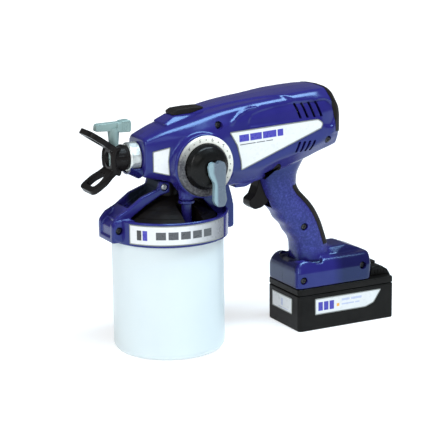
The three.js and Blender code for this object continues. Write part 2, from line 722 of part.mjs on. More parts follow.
function collarAndCup() {
  const { outer, inner, bottom, top, ledge } = COLLAR;
  const ring = turned(
    [[inner, bottom], [outer - 1, bottom], [outer, bottom + 1], [outer, top - 1], [outer - 1, top],
      [inner, top], [inner, LID.top + 2.6], [ledge, LID.top + 2.6], [ledge, LID.top + GAP],
      [inner, LID.top + GAP], [inner, bottom]],
    "Z", [0, 0, 0], 36,
  );
  const inside = rod(inner, 100, LID.top + GAP, "Z", [0, 0, 0], 36);
  const inlet = rod(ledge, 100, 140, "Z", [0, 0, 0], 36);
  const arms = cut(join(frontArm(), rearArm()), inside, inlet);
  const frame = cut(join(ring, arms), ...COLLAR_SCREWS.map((screw) => screwSolid(screw, GAP)));
  add("collar_frame", largest(frame), BLUE);
  COLLAR_SCREWS.forEach((screw) => add(screw.name, screwSolid(screw), ZINC));
  const returnAxis = [RETURN.x, RETURN.y, 0];
  const returnTube = turned(
    [[2.6, 96], [4.6, 96], [4.6, 139.6], [7.6, 139.6], [7.6, 142], [4.6, 142], [4.6, 154], [2.6, 154],
      [2.6, 96]],
    "Z", returnAxis, 16,
  );
  add("return_tube", returnTube, BLUE);

  const holes = [rod(5, 100, 140, "Z", returnAxis, 16), rod(4.4, 100, 150, "Z", [0, 0, 0], 20)];
  const lid = rod(LID.radius, LID.bottom, LID.top, "Z", [0, 0, 0], 36);
  add("cup_lid", cut(lid, ...holes), BLACK);
  const low = LID.top + GAP;
  const dome = turned(
    [[4.4, low], [45.4, low], [43, 126], [34, 132], [24, 137.5], [14, 141.5], [11, 143],
      [11, 163.6], [4.4, 163.6], [4.4, low]],
    "Z", [0, 0, 0], 32,
  );
  const channel = join(
    rod(9.4, 110, 160, "Z", returnAxis, 16),
    block([RETURN.x - 9.4, -60, 110], [RETURN.x + 9.4, RETURN.y, 160]),
  );
  add("inlet_housing", cut(dome, channel), BLACK);
  add("suction_tube", tube(4, 2.6, 12, 140, "Z", [0, 0, 0], 20), CUP_WHITE);
  add("inlet_strainer", strainerSolid(), BLACK);
  add("cup_gasket", tube(51.2, 47, 116 + GAP, 117.6, "Z", [0, 0, 0], 36), RUBBER);

  const { radius, height, wall, floor, edge } = CUP;
  const cup = turned(
    [[0, 0], [radius - edge, 0], [radius - 1.2, 1.2], [radius, edge], [radius, height],
      [radius - wall, height], [radius - wall, edge + 1], [radius - wall - 2.5, floor], [0, floor]],
    "Z", [0, 0, 0], 36,
  );
  add("cup", cup, CUP_WHITE);
}

// A drum-shaped strainer pushed on the suction tube's lower end, open at the top of its socket.
function strainerSolid() {
  const drum = turned([[0, 4.6], [10, 4.6], [10, 8], [7.6, 16], [0, 16]], "Z", [0, 0, 0], 24);
  return cut(drum, rod(4.3, 11.6, 20, "Z", [0, 0, 0], 20));
}

// ---------------------------------------------------------------- battery

function packOutline(inset) {
  const { x0, x1, bulge, half } = BATTERY;
  const shape = new THREE.Shape();
  const [front, rear, side, corner] = [x0 + inset, x1 - inset, half - inset, 4];
  shape.moveTo(front + corner, -side);
  shape.lineTo(rear - corner, -side);
  shape.quadraticCurveTo(rear, -side, rear + 1, -side + corner);
  shape.quadraticCurveTo(rear + bulge, 0, rear + 1, side - corner);
  shape.quadraticCurveTo(rear, side, rear - corner, side);
  shape.lineTo(front + corner, side);
  shape.quadraticCurveTo(front, side, front, side - corner);
  shape.lineTo(front, -side + corner);
  shape.quadraticCurveTo(front, -side, front + corner, -side);
  return shape;
}

function battery() {
  const { top, split } = BATTERY;
  const wall = 2.6;
  const lower = cut(
    prism(packOutline(0), "XY", 0, split),
    prism(packOutline(wall), "XY", wall, split + 5),
  );
  add("battery_case", lower, BLACK);

  const rail = block([RAIL.x0, -RAIL.half, top - 1], [RAIL.x1, RAIL.half, RAIL.top]);
  const rear = hull([
    [208, -21, top - 1], [208, 21, top - 1], [231.5, -21, top - 1], [231.5, 21, top - 1],
    [210, -19, 51], [210, 19, 51], [222, -18, 50.4], [222, 18, 50.4], [230, -18, 44], [230, 18, 44],
  ]);
  const buttonWell = block([211.5, -8.5, 46.5], [222, 8.5, 60]);
  const cover = cut(
    join(prism(packOutline(0), "XY", split + GAP, top), rail, rear),
    prism(packOutline(wall), "XY", split - 5, top - wall),
    buttonWell,
  );
  add("battery_cover", cover, BLACK);
  add("battery_release_button", block([211.9, -8, 49], [221.6, 8, 53], 0.8), RUBBER);

  const [low, high] = [wall + CELL.radius + 0.6, wall + CELL.radius * 2.85 + 0.9];
  const places = [[-18.3, low], [0, low], [18.3, low], [-9.15, high], [9.15, high]];
  places.forEach(([y, z], i) => {
    const cell = rod(CELL.radius, CELL.x0, CELL.x0 + CELL.length, "X", [0, y, z], 12);
    add(`battery_cell_${i + 1}`, cell, CELL_TEAL);
  });

  const front = [[-17, 15], [21, 15], [21, 30.6], [-17, 30.6]];
  const frontPlate = prism(front, "YZ", BATTERY.x0 - GAP - LABEL_THICK, BATTERY.x0 - GAP);
  add("battery_front_label", frontPlate, LABEL);
  const face = BATTERY.half + GAP;
  const side = [[139.4, 15], [196, 15], [206, 18.5], [214, 31], [139.4, 31]];
  add("battery_side_label", prism(side, "XZ", -face - LABEL_THICK, -face), LABEL);
}

// ---------------------------------------------------------------- the whole sprayer

housingShells();
noseShroud();
topInsert();
rearCap();
gripStrip();
labels();
controls();
sprayHead();
pumpAndDrive();
collarAndCup();
battery();

export default sprayer;
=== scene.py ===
import json
import math
from contextlib import contextmanager

import bmesh
import bpy
from mathutils import Matrix, Vector


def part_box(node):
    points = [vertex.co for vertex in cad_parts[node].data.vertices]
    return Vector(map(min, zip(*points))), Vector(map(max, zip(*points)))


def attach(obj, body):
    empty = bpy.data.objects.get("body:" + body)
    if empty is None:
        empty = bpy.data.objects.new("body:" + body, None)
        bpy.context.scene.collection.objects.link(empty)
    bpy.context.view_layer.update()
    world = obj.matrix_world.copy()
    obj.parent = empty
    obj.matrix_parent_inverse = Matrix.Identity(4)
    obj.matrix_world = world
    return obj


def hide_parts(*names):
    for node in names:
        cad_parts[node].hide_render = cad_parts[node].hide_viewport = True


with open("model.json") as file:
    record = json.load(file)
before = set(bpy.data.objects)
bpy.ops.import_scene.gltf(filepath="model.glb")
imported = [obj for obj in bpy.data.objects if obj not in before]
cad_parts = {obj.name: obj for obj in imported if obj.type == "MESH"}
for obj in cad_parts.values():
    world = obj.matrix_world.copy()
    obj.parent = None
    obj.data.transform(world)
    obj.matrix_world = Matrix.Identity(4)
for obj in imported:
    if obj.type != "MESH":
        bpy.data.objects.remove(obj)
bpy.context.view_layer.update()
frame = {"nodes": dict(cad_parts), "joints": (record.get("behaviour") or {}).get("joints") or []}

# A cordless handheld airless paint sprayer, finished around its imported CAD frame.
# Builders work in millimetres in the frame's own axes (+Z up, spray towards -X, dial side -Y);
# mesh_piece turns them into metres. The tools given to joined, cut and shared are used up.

MM = 0.001


# ---- what the frame says

def box_mm(node):
    low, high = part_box(node)
    return low / MM, high / MM


def joint_point(name):
    point = next(j["pos_m"] for j in frame["joints"] if j["name"] == name)
    return Vector(point) / MM


DIAL = joint_point("pressure_knob_turn")
PIVOT = joint_point("trigger_pull")
TIP = joint_point("spray_tip_reverse")
SPRAY_Z = TIP.z
SPRAY_AXIS = (0, 0, SPRAY_Z)
DIAL_LOW, DIAL_HIGH = box_mm("dial_ring")
TUBE_LOW, TUBE_HIGH = box_mm("return_tube")
TUBE_AXIS = (*((TUBE_LOW + TUBE_HIGH) / 2)[:2], 0)
SIDE_FACE = 33.8  # half-width of the motor housing's flat sides


# ---- mesh helpers

def linked(name, data):
    """A new object in the scene."""
    made = bpy.data.objects.new(name, data)
    bpy.context.scene.collection.objects.link(made)
    return made


def evaluated_mesh(item):
    graph = bpy.context.evaluated_depsgraph_get()
    graph.update()
    return bpy.data.meshes.new_from_object(item.evaluated_get(graph))


@contextmanager
def editing(mesh):
    """Opens a mesh for bmesh operations and writes it back after them."""
    work = bmesh.new()
    work.from_mesh(mesh)
    yield work
    work.to_mesh(mesh)
    work.free()


def mesh_piece(name, vertices, faces):
    mesh = bpy.data.meshes.new(name)
    mesh.from_pydata([(x * MM, y * MM, z * MM) for x, y, z in vertices], [], faces)
    with editing(mesh) as work:
        bmesh.ops.remove_doubles(work, verts=work.verts, dist=1e-7)
        bmesh.ops.recalc_face_normals(work, faces=work.faces)
    return linked(name, mesh)


def modified(piece, kind, **settings):
    """Applies a modifier of a kind with its settings."""
    change = piece.modifiers.new(kind, kind)
    for key, value in settings.items():
        setattr(change, key, value)
    mesh = evaluated_mesh(piece)
    piece.modifiers.clear()
    old, piece.data = piece.data, mesh
    bpy.data.meshes.remove(old)
    return piece


def combined(piece, tools, operation):
    for tool in tools:
        modified(piece, "BOOLEAN", operation=operation, solver="MANIFOLD", object=tool)
        bpy.data.objects.remove(tool)
    return piece


def joined(piece, *tools):
    return combined(piece, tools, "UNION")


def cut(piece, *tools):
    return combined(piece, tools, "DIFFERENCE")


def shared(piece, *tools):
    return combined(piece, tools, "INTERSECT")


def copy_of(piece, name="copy"):
    return linked(name, piece.data.copy())


def moved(piece, matrix):
    piece.data.transform(matrix)
    if matrix.determinant() < 0:
        piece.data.flip_normals()
    return piece


def mirrored(piece):
    return moved(piece, Matrix.Scale(-1, 4, Vector((0, 1, 0))))


def twin_of(piece):
    """A copy on the other side of the sprayer."""
    return mirrored(copy_of(piece))


def shift(x, y, z):
    """The matrix of a move in millimetres."""
    return Matrix.Translation(Vector((x, y, z)) * MM)


def turned_by(piece, angle, axis, centre=(0, 0, 0)):
    to = shift(*centre)
    return moved(piece, to @ Matrix.Rotation(angle, 4, axis) @ to.inverted())


def rounded_edges(piece, width, segments=3, angle=32):
    return modified(piece, "BEVEL", width=width * MM, segments=segments, limit_method="ANGLE",
                    angle_limit=math.radians(angle), use_clamp_overlap=True, miter_outer="MITER_ARC")


def soften(piece, voxel, rounds):
    """Rounds every edge and inner corner of a solid a little."""
    modified(piece, "REMESH", mode="VOXEL", voxel_size=voxel * MM)
    return modified(piece, "SMOOTH", factor=0.5, iterations=rounds)


def largest_part(piece):
    """Drops loose slivers left by cuts."""
    with editing(piece.data) as work:
        unseen = set(work.verts)
        groups = []
        while unseen:
            stack = [unseen.pop()]
            groups.append(set(stack))
            while stack:
                near = {v for edge in stack.pop().link_edges for v in edge.verts} & unseen
                unseen -= near
                groups[-1] |= near
                stack += near
        biggest = max(groups, key=len)
        loose = [v for group in groups if group is not biggest for v in group]
        bmesh.ops.delete(work, geom=loose, context="VERTS")
    return piece


# ---- outlines and solids

def round_corners(points, steps=5, closed=True):
    """An outline of (u, v) or (u, v, radius) points, with an arc at each point that has a radius."""
    count = len(points)
    result = []
    for i, point in enumerate(points):
        here = Vector(point[:2])
        radius = point[2] if len(point) > 2 else 0
        if not radius or (not closed and i in (0, count - 1)):
            result.append(here[:])
            continue
        before = Vector(points[i - 1][:2]) - here
        after = Vector(points[(i + 1) % count][:2]) - here
        reach = radius / max(math.tan(before.angle(after) / 2), 1e-3)
        reach = min(reach, 0.48 * before.length, 0.48 * after.length)
        start = here + before.normalized() * reach
        end = here + after.normalized() * reach
        for k in range(steps + 1):
            t = k / steps
            result.append(((1 - t) ** 2 * start + 2 * t * (1 - t) * here + t ** 2 * end)[:])
    return result


def rectangle(left, low, right, high, corner=0):
    return [(left, low, corner), (right, low, corner), (right, high, corner), (left, high, corner)]


def symmetric(half):
    """An outline from the half of it where v is negative."""
    return half + [(u, -v, *radius) for u, v, *radius in reversed(half)]


def both_sides(*points):
    """Each point and its mirror image on the other side of the sprayer."""
    return [(x, y * side, z) for x, y, z in points for side in (1, -1)]


def around(count, radius):
    """Evenly spaced points on a circle."""
    angles = [2 * math.pi * i / count for i in range(count)]
    return [(radius * math.cos(a), radius * math.sin(a)) for a in angles]


# Where the point (u, v) at height h lies, by the plane of u and v or by the axis of h.
PLACE = {
    "XY": lambda u, v, h: (u, v, h),
    "XZ": lambda u, v, h: (u, h, v),
    "YZ": lambda u, v, h: (h, u, v),
}
PLACE.update(Z=PLACE["XY"], Y=PLACE["XZ"], X=PLACE["YZ"])


def grid_faces(rows, columns, close_rows, close_columns):
    """Four-sided faces over rows of vertices, which may close on themselves either way."""
    faces = []
    for r in range(rows if close_rows else rows - 1):
        here, there = r * columns, (r + 1) % rows * columns
        for i in range(columns if close_columns else columns - 1):
            j = (i + 1) % columns
            faces.append((here + i, here + j, there + j, there + i))
    return faces


def prism(name, outline, plane, low, high, steps=5):
    """An outline pushed along its plane's normal from one height to another."""
    points = round_corners(outline, steps)
    count = len(points)
    vertices = [PLACE[plane](u, v, h) for h in (low, high) for u, v in points]
    faces = [tuple(range(count))[::-1], tuple(range(count, 2 * count))]
    faces += [(i, (i + 1) % count, (i + 1) % count + count, i + count) for i in range(count)]
    return mesh_piece(name, vertices, faces)


def block(name, low, high):
    return prism(name, rectangle(*low[:2], *high[:2]), "XY", low[2], high[2])


def lathe(name, profile, axis="Z", centre=(0, 0, 0), segments=64, steps=5):
    """A profile of (radius, height[, corner radius]) points turned about an axis.
    It starts and ends on the axis, or closes on itself."""
    closed = profile[0][0] != 0
    points = round_corners(profile, steps, closed)
    vertices = []
    for c, d in around(segments, 1):
        for r, h in points:
            vertices.append(tuple(a + b for a, b in zip(PLACE[axis](r * c, r * d, h), centre)))
    piece = mesh_piece(name, vertices, grid_faces(segments, len(points), True, closed))
    with editing(piece.data) as work:
        bmesh.ops.dissolve_degenerate(work, dist=1e-8, edges=work.edges)
        bmesh.ops.recalc_face_normals(work, faces=work.faces)
    return piece


def rod(name, radius, low, high, axis="Z", centre=(0, 0, 0), segments=48):
    return lathe(name, [(0, low), (radius, low), (radius, high), (0, high)], axis, centre, segments)


def tube(name, outer, inner, low, high, axis="Z", centre=(0, 0, 0), segments=48, edge=0):
    profile = [(inner, low, edge), (outer, low, edge), (outer, high, edge), (inner, high, edge)]
    return lathe(name, profile, axis, centre, segments, 3)


def loft(name, rings):
    """Rings of equal length joined one to the next, with a cap on each end."""
    count = len(rings[0])
    last = (len(rings) - 1) * count
    caps = [tuple(range(count))[::-1], tuple(range(last, last + count))]
    return mesh_piece(name, [p for ring in rings for p in ring],
                      grid_faces(len(rings), count, False, True) + caps)


def hull(name, points):
    piece = mesh_piece(name, points, [])
    with editing(piece.data) as work:
        found = bmesh.ops.convex_hull(work, input=work.verts)
        inside = [v for v in found["geom_interior"] if isinstance(v, bmesh.types.BMVert)]
        bmesh.ops.delete(work, geom=inside, context="VERTS")
        bmesh.ops.recalc_face_normals(work, faces=work.faces)
    return piece


def swept(name, path, radius, sides=12):
    """A round bar along a list of points, with its ends closed."""
    points = [Vector(p) for p in path]
    rings = []
    normal = None
    for i, point in enumerate(points):
        ahead = (points[min(i + 1, len(points) - 1)] - points[max(i - 1, 0)]).normalized()
        if normal is None:
            normal = ahead.orthogonal().normalized()
        normal = (normal - ahead * normal.dot(ahead)).normalized()
        other = ahead.cross(normal)
        rings.append([(point + radius * (c * normal + s * other))[:] for c, s in around(sides, 1)])
    return loft(name, rings)


def along(knots, at):
    """A smooth value between (position, value) knots."""
    if at <= knots[0][0]:
        return knots[0][1]
    if at >= knots[-1][0]:
        return knots[-1][1]
    rates = [(v1 - v0) / (p1 - p0) for (p0, v0), (p1, v1) in zip(knots, knots[1:])]

    def slope(k):
        left, right = rates[max(k - 1, 0)], rates[min(k, len(rates) - 1)]
        return 0 if left * right <= 0 else 2 * left * right / (left + right)

    i = next(k for k in range(1, len(knots)) if knots[k][0] >= at)
    (p0, v0), (p1, v1) = knots[i - 1], knots[i]
    span = p1 - p0
    t = (at - p0) / span
    m0, m1 = slope(i - 1) * span, slope(i) * span
    return ((2 * t ** 3 - 3 * t ** 2 + 1) * v0 + (t ** 3 - 2 * t ** 2 + t) * m0
            + (-2 * t ** 3 + 3 * t ** 2) * v1 + (t ** 3 - t ** 2) * m1)


# ---- materials

BLUE, BLUE_SHADE = (0.0150, 0.0115, 0.115), (0.019, 0.015, 0.128)
BLUE_GLOSS = (0.42, 0.68, 1.0, 1)
WHITE = (0.66, 0.66, 0.655)
BLUE_INK = (0.035, 0.03, 0.32)
GREY_INK = (0.06, 0.065, 0.07)
PALE_INK = (0.42, 0.45, 0.60)
AMBER_INK = (0.75, 0.38, 0.06)
MIX_A, MIX_B, MIX_RESULT = 6, 7, 2  # the colour sockets of a mix node


class Paint:
    """A material being made. Its methods add nodes and give their outputs."""

    def __init__(self, name, colour, roughness, metallic=0.0, specular=0.5, gloss=(1, 1, 1, 1)):
        self.material = bpy.data.materials.new(name)
        self.material.use_nodes = True
        self.tree = self.material.node_tree
        self.inputs = self.tree.nodes["Principled BSDF"].inputs
        self.fill(self.inputs, {
            "Base Color": (*colour, 1), "Roughness": roughness, "Metallic": metallic,
            "Specular IOR Level": specular, "Specular Tint": gloss})

    def fill(self, inputs, values):
        for key, value in values.items():
            if isinstance(value, bpy.types.NodeSocket):
                self.tree.links.new(value, inputs[key])
            else:
                inputs[key].default_value = value

    def node(self, kind, inputs, output, **settings):
        made = self.tree.nodes.new("ShaderNode" + kind)
        for key, value in settings.items():
            setattr(made, key, value)
        self.fill(made.inputs, inputs)
        return made.outputs[output]

    def noise(self, scale, detail=3.0, roughness=0.55, stretch=None):
        where = self.node("TexCoord", {}, "Object")
        if stretch:
            where = self.node("Mapping", {"Vector": where, "Scale": stretch}, "Vector")
        inputs = {"Vector": where, "Scale": scale, "Detail": detail, "Roughness": roughness}
        return self.node("TexNoise", inputs, "Fac")

    def axis(self, letter):
        return self.node("SeparateXYZ", {"Vector": self.node("TexCoord", {}, "Object")}, letter)

    def remap(self, value, low, high, to_low=0.0, to_high=1.0):
        return self.node("MapRange", {"Value": value, "From Min": low, "From Max": high,
                                      "To Min": to_low, "To Max": to_high}, "Result")

    def blend(self, factor, *colours):
        """Mixes two colours, each three numbers or an output."""
        first, second = ((*c, 1) if isinstance(c, tuple) else c for c in colours)
        inputs = {"Factor": factor, MIX_A: first, MIX_B: second}
        return self.node("Mix", inputs, MIX_RESULT, data_type="RGBA")

    def math(self, operation, first, second):
        return self.node("Math", {0: first, 1: second}, "Value", operation=operation)

    def times(self, product, *others):
        for other in others:
            product = self.math("MULTIPLY", product, other)
        return product

    def within(self, value, low, high, soft=0.00012):
        """1 where a value lies between two numbers, in metres, and 0 elsewhere."""
        return self.times(self.remap(value, low - soft, low + soft),
                          self.remap(value, high - soft, high + soft, 1, 0))

    def mottled(self, scale, detail, first, second, spread=0.15):
        """A slow shift between two colours."""
        return self.blend(self.remap(self.noise(scale, detail), 0.5 - spread, 0.5 + spread), first, second)

    def uneven(self, scale, detail, low, high):
        return self.remap(self.noise(scale, detail), 0.3, 0.7, low, high)

    def finished(self, colour, roughness, relief, strength, depth):
        """Connects the colour, the roughness and a relief whose depth is in millimetres."""
        bump = {"Strength": strength, "Distance": depth * MM, "Height": relief}
        self.fill(self.inputs, {
            "Base Color": colour, "Roughness": roughness, "Normal": self.node("Bump", bump, "Normal")})
        return self.material


def moulded(name, colour, shade, roughness, grain=900.0, depth=0.02, **settings):
    """Moulded plastic: a slow shift of colour, fine surface grain and uneven gloss."""
    paint = Paint(name, colour, roughness, **settings)
    return paint.finished(
        paint.mottled(60.0, 2.0, colour, shade), paint.uneven(180.0, 4.0, roughness - 0.06, roughness + 0.06),
        paint.noise(grain, 2.0), 0.35, depth)


def metal(name, colour, roughness, grain=400.0, stretch=None):
    """Machined or plated metal, with fine tool marks."""
    paint = Paint(name, colour, roughness, metallic=1.0)
    marks = paint.noise(grain, 4.0, 0.6, stretch)
    dull = tuple(c * 0.72 for c in colour)
    return paint.finished(
        paint.blend(paint.remap(marks, 0.35, 0.7), colour, dull),
        paint.remap(marks, 0.3, 0.7, roughness - 0.08, roughness + 0.1), marks, 0.2, 0.03)


def housing_plastic():
    """Glossy blue, with a moulded grain on the handle, and painted shade that makes the foot's front and top
    nearly black.
    """
    paint = Paint("housing_blue", BLUE, 0.2, gloss=BLUE_GLOSS)
    height = paint.axis("Z")
    on_handle = paint.times(paint.remap(height, 0.160, 0.146), paint.remap(height, 0.070, 0.076))
    speckle = paint.noise(520.0, 5.0, 0.7)
    grained = paint.blend(paint.times(paint.remap(speckle, 0.45, 0.7), on_handle, 0.4),
                          paint.mottled(45.0, 2.0, BLUE, BLUE_SHADE), (0.10, 0.10, 0.50))
    # painted shade: the foot's front face and the foot behind the handle are darkened to near black
    front = paint.times(paint.within(paint.axis("Y"), -0.0238, 0.0238, 0.0022),
                        paint.remap(height, 0.0655, 0.0675, 1, 0))
    rear = paint.times(paint.remap(paint.axis("X"), 0.160, 0.172), paint.remap(height, 0.0765, 0.0795, 1, 0))
    painted_foot_shade = paint.times(paint.math("MAXIMUM", front, rear), 0.72)
    return paint.finished(
        paint.blend(painted_foot_shade, grained, (0.0035, 0.0028, 0.018)),
        paint.math("ADD", paint.uneven(140.0, 4.0, -0.03, 0.03), paint.remap(on_handle, 0, 1, 0.2, 0.36)),
        paint.times(speckle, paint.remap(on_handle, 0, 1, 0.12, 1.0)), 0.35, 0.12)


def strap_plastic():
    """The housing's blue, with painted shade that makes the recess along the top of the strap nearly black.
    """
    paint = Paint("strap_blue", BLUE, 0.24, gloss=BLUE_GLOSS)
    x, y, z = (paint.axis(letter) for letter in "XYZ")
    floor = paint.remap(x, -0.043, -0.013, 0.1302, 0.1472)
    # painted shade: the recess along the top of the strap is darkened to near black
    recess = paint.times(
        paint.remap(paint.math("SUBTRACT", z, floor), -0.0008, 0.0012),
        paint.within(x, -0.034, -0.006, 0.002), paint.within(y, -0.0112, 0.0113, 0.0003))
    return paint.finished(
        paint.blend(recess, paint.mottled(45.0, 2.0, BLUE, BLUE_SHADE), (0.004, 0.0035, 0.008)),
        paint.remap(recess, 0, 1, 0.22, 0.7), paint.noise(900.0, 3.0), 0.3, 0.02)


def lever_plastic():
    """Slate plastic, with a painted highlight that makes the lever paler along its left edge."""
    paint = Paint("lever_grey_blue", (0.125, 0.16, 0.20), 0.3)
    # painted highlight: a pale strip down the lever's left slope, where the light falls
    edge = paint.remap(paint.axis("Z"), (DIAL.z - 14) * MM, (DIAL.z - 3) * MM,
                       (DIAL.x + 2.6) * MM, (DIAL.x - 0.6) * MM)
    painted_edge_highlight = paint.remap(paint.math("SUBTRACT", paint.axis("X"), edge), -0.0012, 0.0006)
    slate = paint.blend(paint.noise(260.0), (0.105, 0.135, 0.17), (0.07, 0.095, 0.125))
    return paint.finished(paint.blend(painted_edge_highlight, (0.20, 0.30, 0.335), slate),
                          paint.uneven(180.0, 4.0, 0.24, 0.36), paint.noise(900.0, 2.0), 0.35, 0.02)


def scale_print():
    """Cream card with painted shade: it fades from cream at its upper right to slate at its lower left."""
    paint = Paint("dial_cream", (0.68, 0.66, 0.58), 0.34)
    # painted light and shade: cream where the light falls at the upper right, near black at the lower left
    slope = paint.math("ADD", paint.times(paint.axis("X"), 0.7), paint.times(paint.axis("Z"), 0.72))
    middle = (0.7 * DIAL.x + 0.72 * DIAL.z) * MM
    card = paint.blend(paint.remap(slope, middle - 0.013, middle + 0.018),
                       (0.024, 0.022, 0.028), (0.80, 0.77, 0.68))
    fleck = paint.remap(paint.noise(500.0), 0.4, 0.7, 0, 0.25)
    return paint.finished(paint.blend(fleck, card, (0.42, 0.42, 0.42)),
                          paint.uneven(160.0, 3.0, 0.28, 0.42), paint.noise(1200.0, 2.0), 0.2, 0.015)


def cup_polyethylene():
    """Translucent white polyethylene with a faint cool tint."""
    paint = Paint("cup_polyethylene", (0.63, 0.685, 0.69), 0.34, specular=0.4)
    paint.fill(paint.inputs, {"Subsurface Weight": 0.25, "Subsurface Radius": (0.9, 1.0, 1.0),
                              "Subsurface Scale": 0.004})
    streaks = paint.noise(60.0, 3.0, 0.6, (1, 1, 0.1))
    return paint.finished(paint.mottled(22.0, 3.0, (0.615, 0.675, 0.68), (0.595, 0.655, 0.665), 0.2),
                          paint.remap(streaks, 0.3, 0.7, 0.28, 0.42), streaks, 0.12, 0.1)


def printed(name, u, v, bars, fade=None):
    """A satin white label. Each bar is (u low, u high, v low, v high, colour), in millimetres, and u
    and v are axes or functions of the paint. A fade is (u low, u high, colour): painted shade that darkens
    the film towards its far end."""
    paint = Paint(name, WHITE, 0.3)
    across, up = (paint.axis(way) if isinstance(way, str) else way(paint) for way in (u, v))
    colour = paint.mottled(90.0, 3.0, WHITE, tuple(c * 0.95 for c in WHITE))
    # painted shade: the film darkens towards its far end, where it turns away from the light
    if fade:
        low, high, shade = fade
        colour = paint.blend(paint.remap(across, low * MM, high * MM), colour, shade)
    for u0, u1, v0, v1, ink in bars:
        inside = paint.times(paint.within(across, u0 * MM, u1 * MM), paint.within(up, v0 * MM, v1 * MM))
        colour = paint.blend(inside, colour, ink)
    return paint.finished(colour, paint.uneven(300.0, 3.0, 0.24, 0.36), paint.noise(1500.0, 2.0), 0.15, 0.01)


# Each look is a material and the slot of the pieces that wear it.
LOOKS = {
    "blue": (housing_plastic(), "housing_blue"),
    "strap_blue": (strap_plastic(), "housing_blue"),
    "arm_blue": (moulded("arm_blue", BLUE, BLUE_SHADE, 0.24, gloss=BLUE_GLOSS), "housing_blue"),
    # painted shade: the nose shroud's darker blue stands for the shade on the nose's front
    "dark_blue": (moulded("dark_blue", (0.0085, 0.0078, 0.068), (0.011, 0.0095, 0.08), 0.25,
                          gloss=BLUE_GLOSS), "housing_dark_blue"),
    "black": (moulded("black", (0.0045, 0.0037, 0.0037), (0.008, 0.0062, 0.0057), 0.36, 1400.0, 0.04,
                      specular=0.12), "black_plastic"),
    "dial_black": (moulded("dial_black", (0.004, 0.004, 0.0035), (0.006, 0.006, 0.006), 0.24,
                           specular=0.13), "black_plastic"),
    "battery": (moulded("battery_black", (0.0042, 0.0038, 0.0034), (0.0075, 0.0068, 0.006), 0.4, 1500.0, 0.08,
                        specular=0.11), "black_plastic"),
    "rubber": (moulded("rubber", (0.009, 0.007, 0.0065), (0.014, 0.011, 0.009), 0.6, 1100.0, 0.08,
                       specular=0.15), "grip_rubber"),
    "tip": (moulded("tip_grey_green", (0.215, 0.30, 0.285), (0.175, 0.25, 0.24), 0.4), "tip_grey_green"),
    "lever": (lever_plastic(), "lever_grey_blue"),
    # the dial ring's card, with painted shade towards its lower left
    "scale": (scale_print(), "dial_cream"),
    "ink": (moulded("tick_ink", (0.03, 0.03, 0.035), (0.05, 0.05, 0.05), 0.5), "dial_cream"),
    "cup": (cup_polyethylene(), "cup_polyethylene"),
    "label_edge": (moulded("label_edge", (0.20, 0.205, 0.19), (0.16, 0.165, 0.15), 0.35), "label_film"),
    "steel": (metal("steel", (0.72, 0.73, 0.74), 0.28, stretch=(1, 1, 14)), "steel"),
    "nut": (metal("nut_plating", (0.66, 0.68, 0.66), 0.5, 260.0), "steel"),
    "zinc": (metal("zinc_casting", (0.52, 0.54, 0.56), 0.5, 700.0), "zinc"),
    "screw": (metal("screw_black_oxide", (0.07, 0.07, 0.075), 0.45, 500.0), "zinc"),
    "board": (moulded("board_green", (0.02, 0.13, 0.05), (0.03, 0.17, 0.06), 0.35), None),
    "cell": (moulded("cell_wrap", (0.03, 0.22, 0.26), (0.02, 0.18, 0.22), 0.3), None),
}


def coloured(piece, material):
    piece.data.materials.clear()
    piece.data.materials.append(material)
    return piece


def shaded(piece, angle=34):
    """Smooth shading, with the flat faces kept flat and the sharp edges kept sharp."""
    piece.data.shade_smooth()
    piece.data.set_sharp_from_angle(angle=math.radians(angle))
    return modified(piece, "WEIGHTED_NORMAL", keep_sharp=True)


def placed(piece, slot, body, *nodes):
    """Rides the finished piece on its body and lets it stand for its CAD nodes."""
    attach(piece, body)
    if nodes:
        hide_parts(*nodes)


def finish(piece, look, body, *nodes, angle=34):
    material, slot = LOOKS[look]
    placed(coloured(shaded(piece, angle), material), slot, body, *nodes)


# ---- housing

# The motor housing's sections along X: lower edge, crease where the side meets the top, crown,
# and the half-widths at the lower edge, at the side and at the crease.
HOUSING = {
    "low": [(-29, 164), (-10, 159.5), (4, 155.5), (24, 152), (45, 149.5), (80, 150), (100, 157),
            (120, 162.5), (135, 167), (150, 172.6), (160, 175.6), (166.5, 177.6)],
    "crease": [(-29, 198.4), (-10, 205.6), (4, 209.3), (24, 214.6), (45, 219.8), (70, 223.6),
               (100, 226.6), (140, 229.4), (153, 229.8), (158, 228.6), (162.5, 225), (166.5, 219)],
    "crown": [(-29, 199.4), (-10, 207.6), (4, 211.6), (24, 217), (45, 221.4), (70, 225.2),
              (100, 228.4), (140, 231.4), (154, 231.6), (159, 230.6), (163, 227.2), (166.5, 221.4)],
    "low_half": [(-29, 15), (-10, 18.5), (24, 21), (60, 22), (140, 22), (156, 23), (166.5, 22.5)],
    "half": [(-29, 18), (-10, 23.5), (4, 27.8), (24, 32.4), (45, SIDE_FACE), (143, SIDE_FACE),
             (155, 32.2), (166.5, 27.2)],
    "crease_half": [(-29, 16), (4, 21.6), (24, 24), (70, 27), (140, 26), (166.5, 20)],
}
# How much of an inset comes off each of them.
HOUSING_SHRINK = {"low": -1, "crease": 0.8, "crown": 1, "low_half": 0.6, "half": 1, "crease_half": 0.8}
HOUSING_FRONT = -29
HOUSING_REAR = 166.5
WALL = 2.6
SEAM = 0.12  # half the gap between the two shells


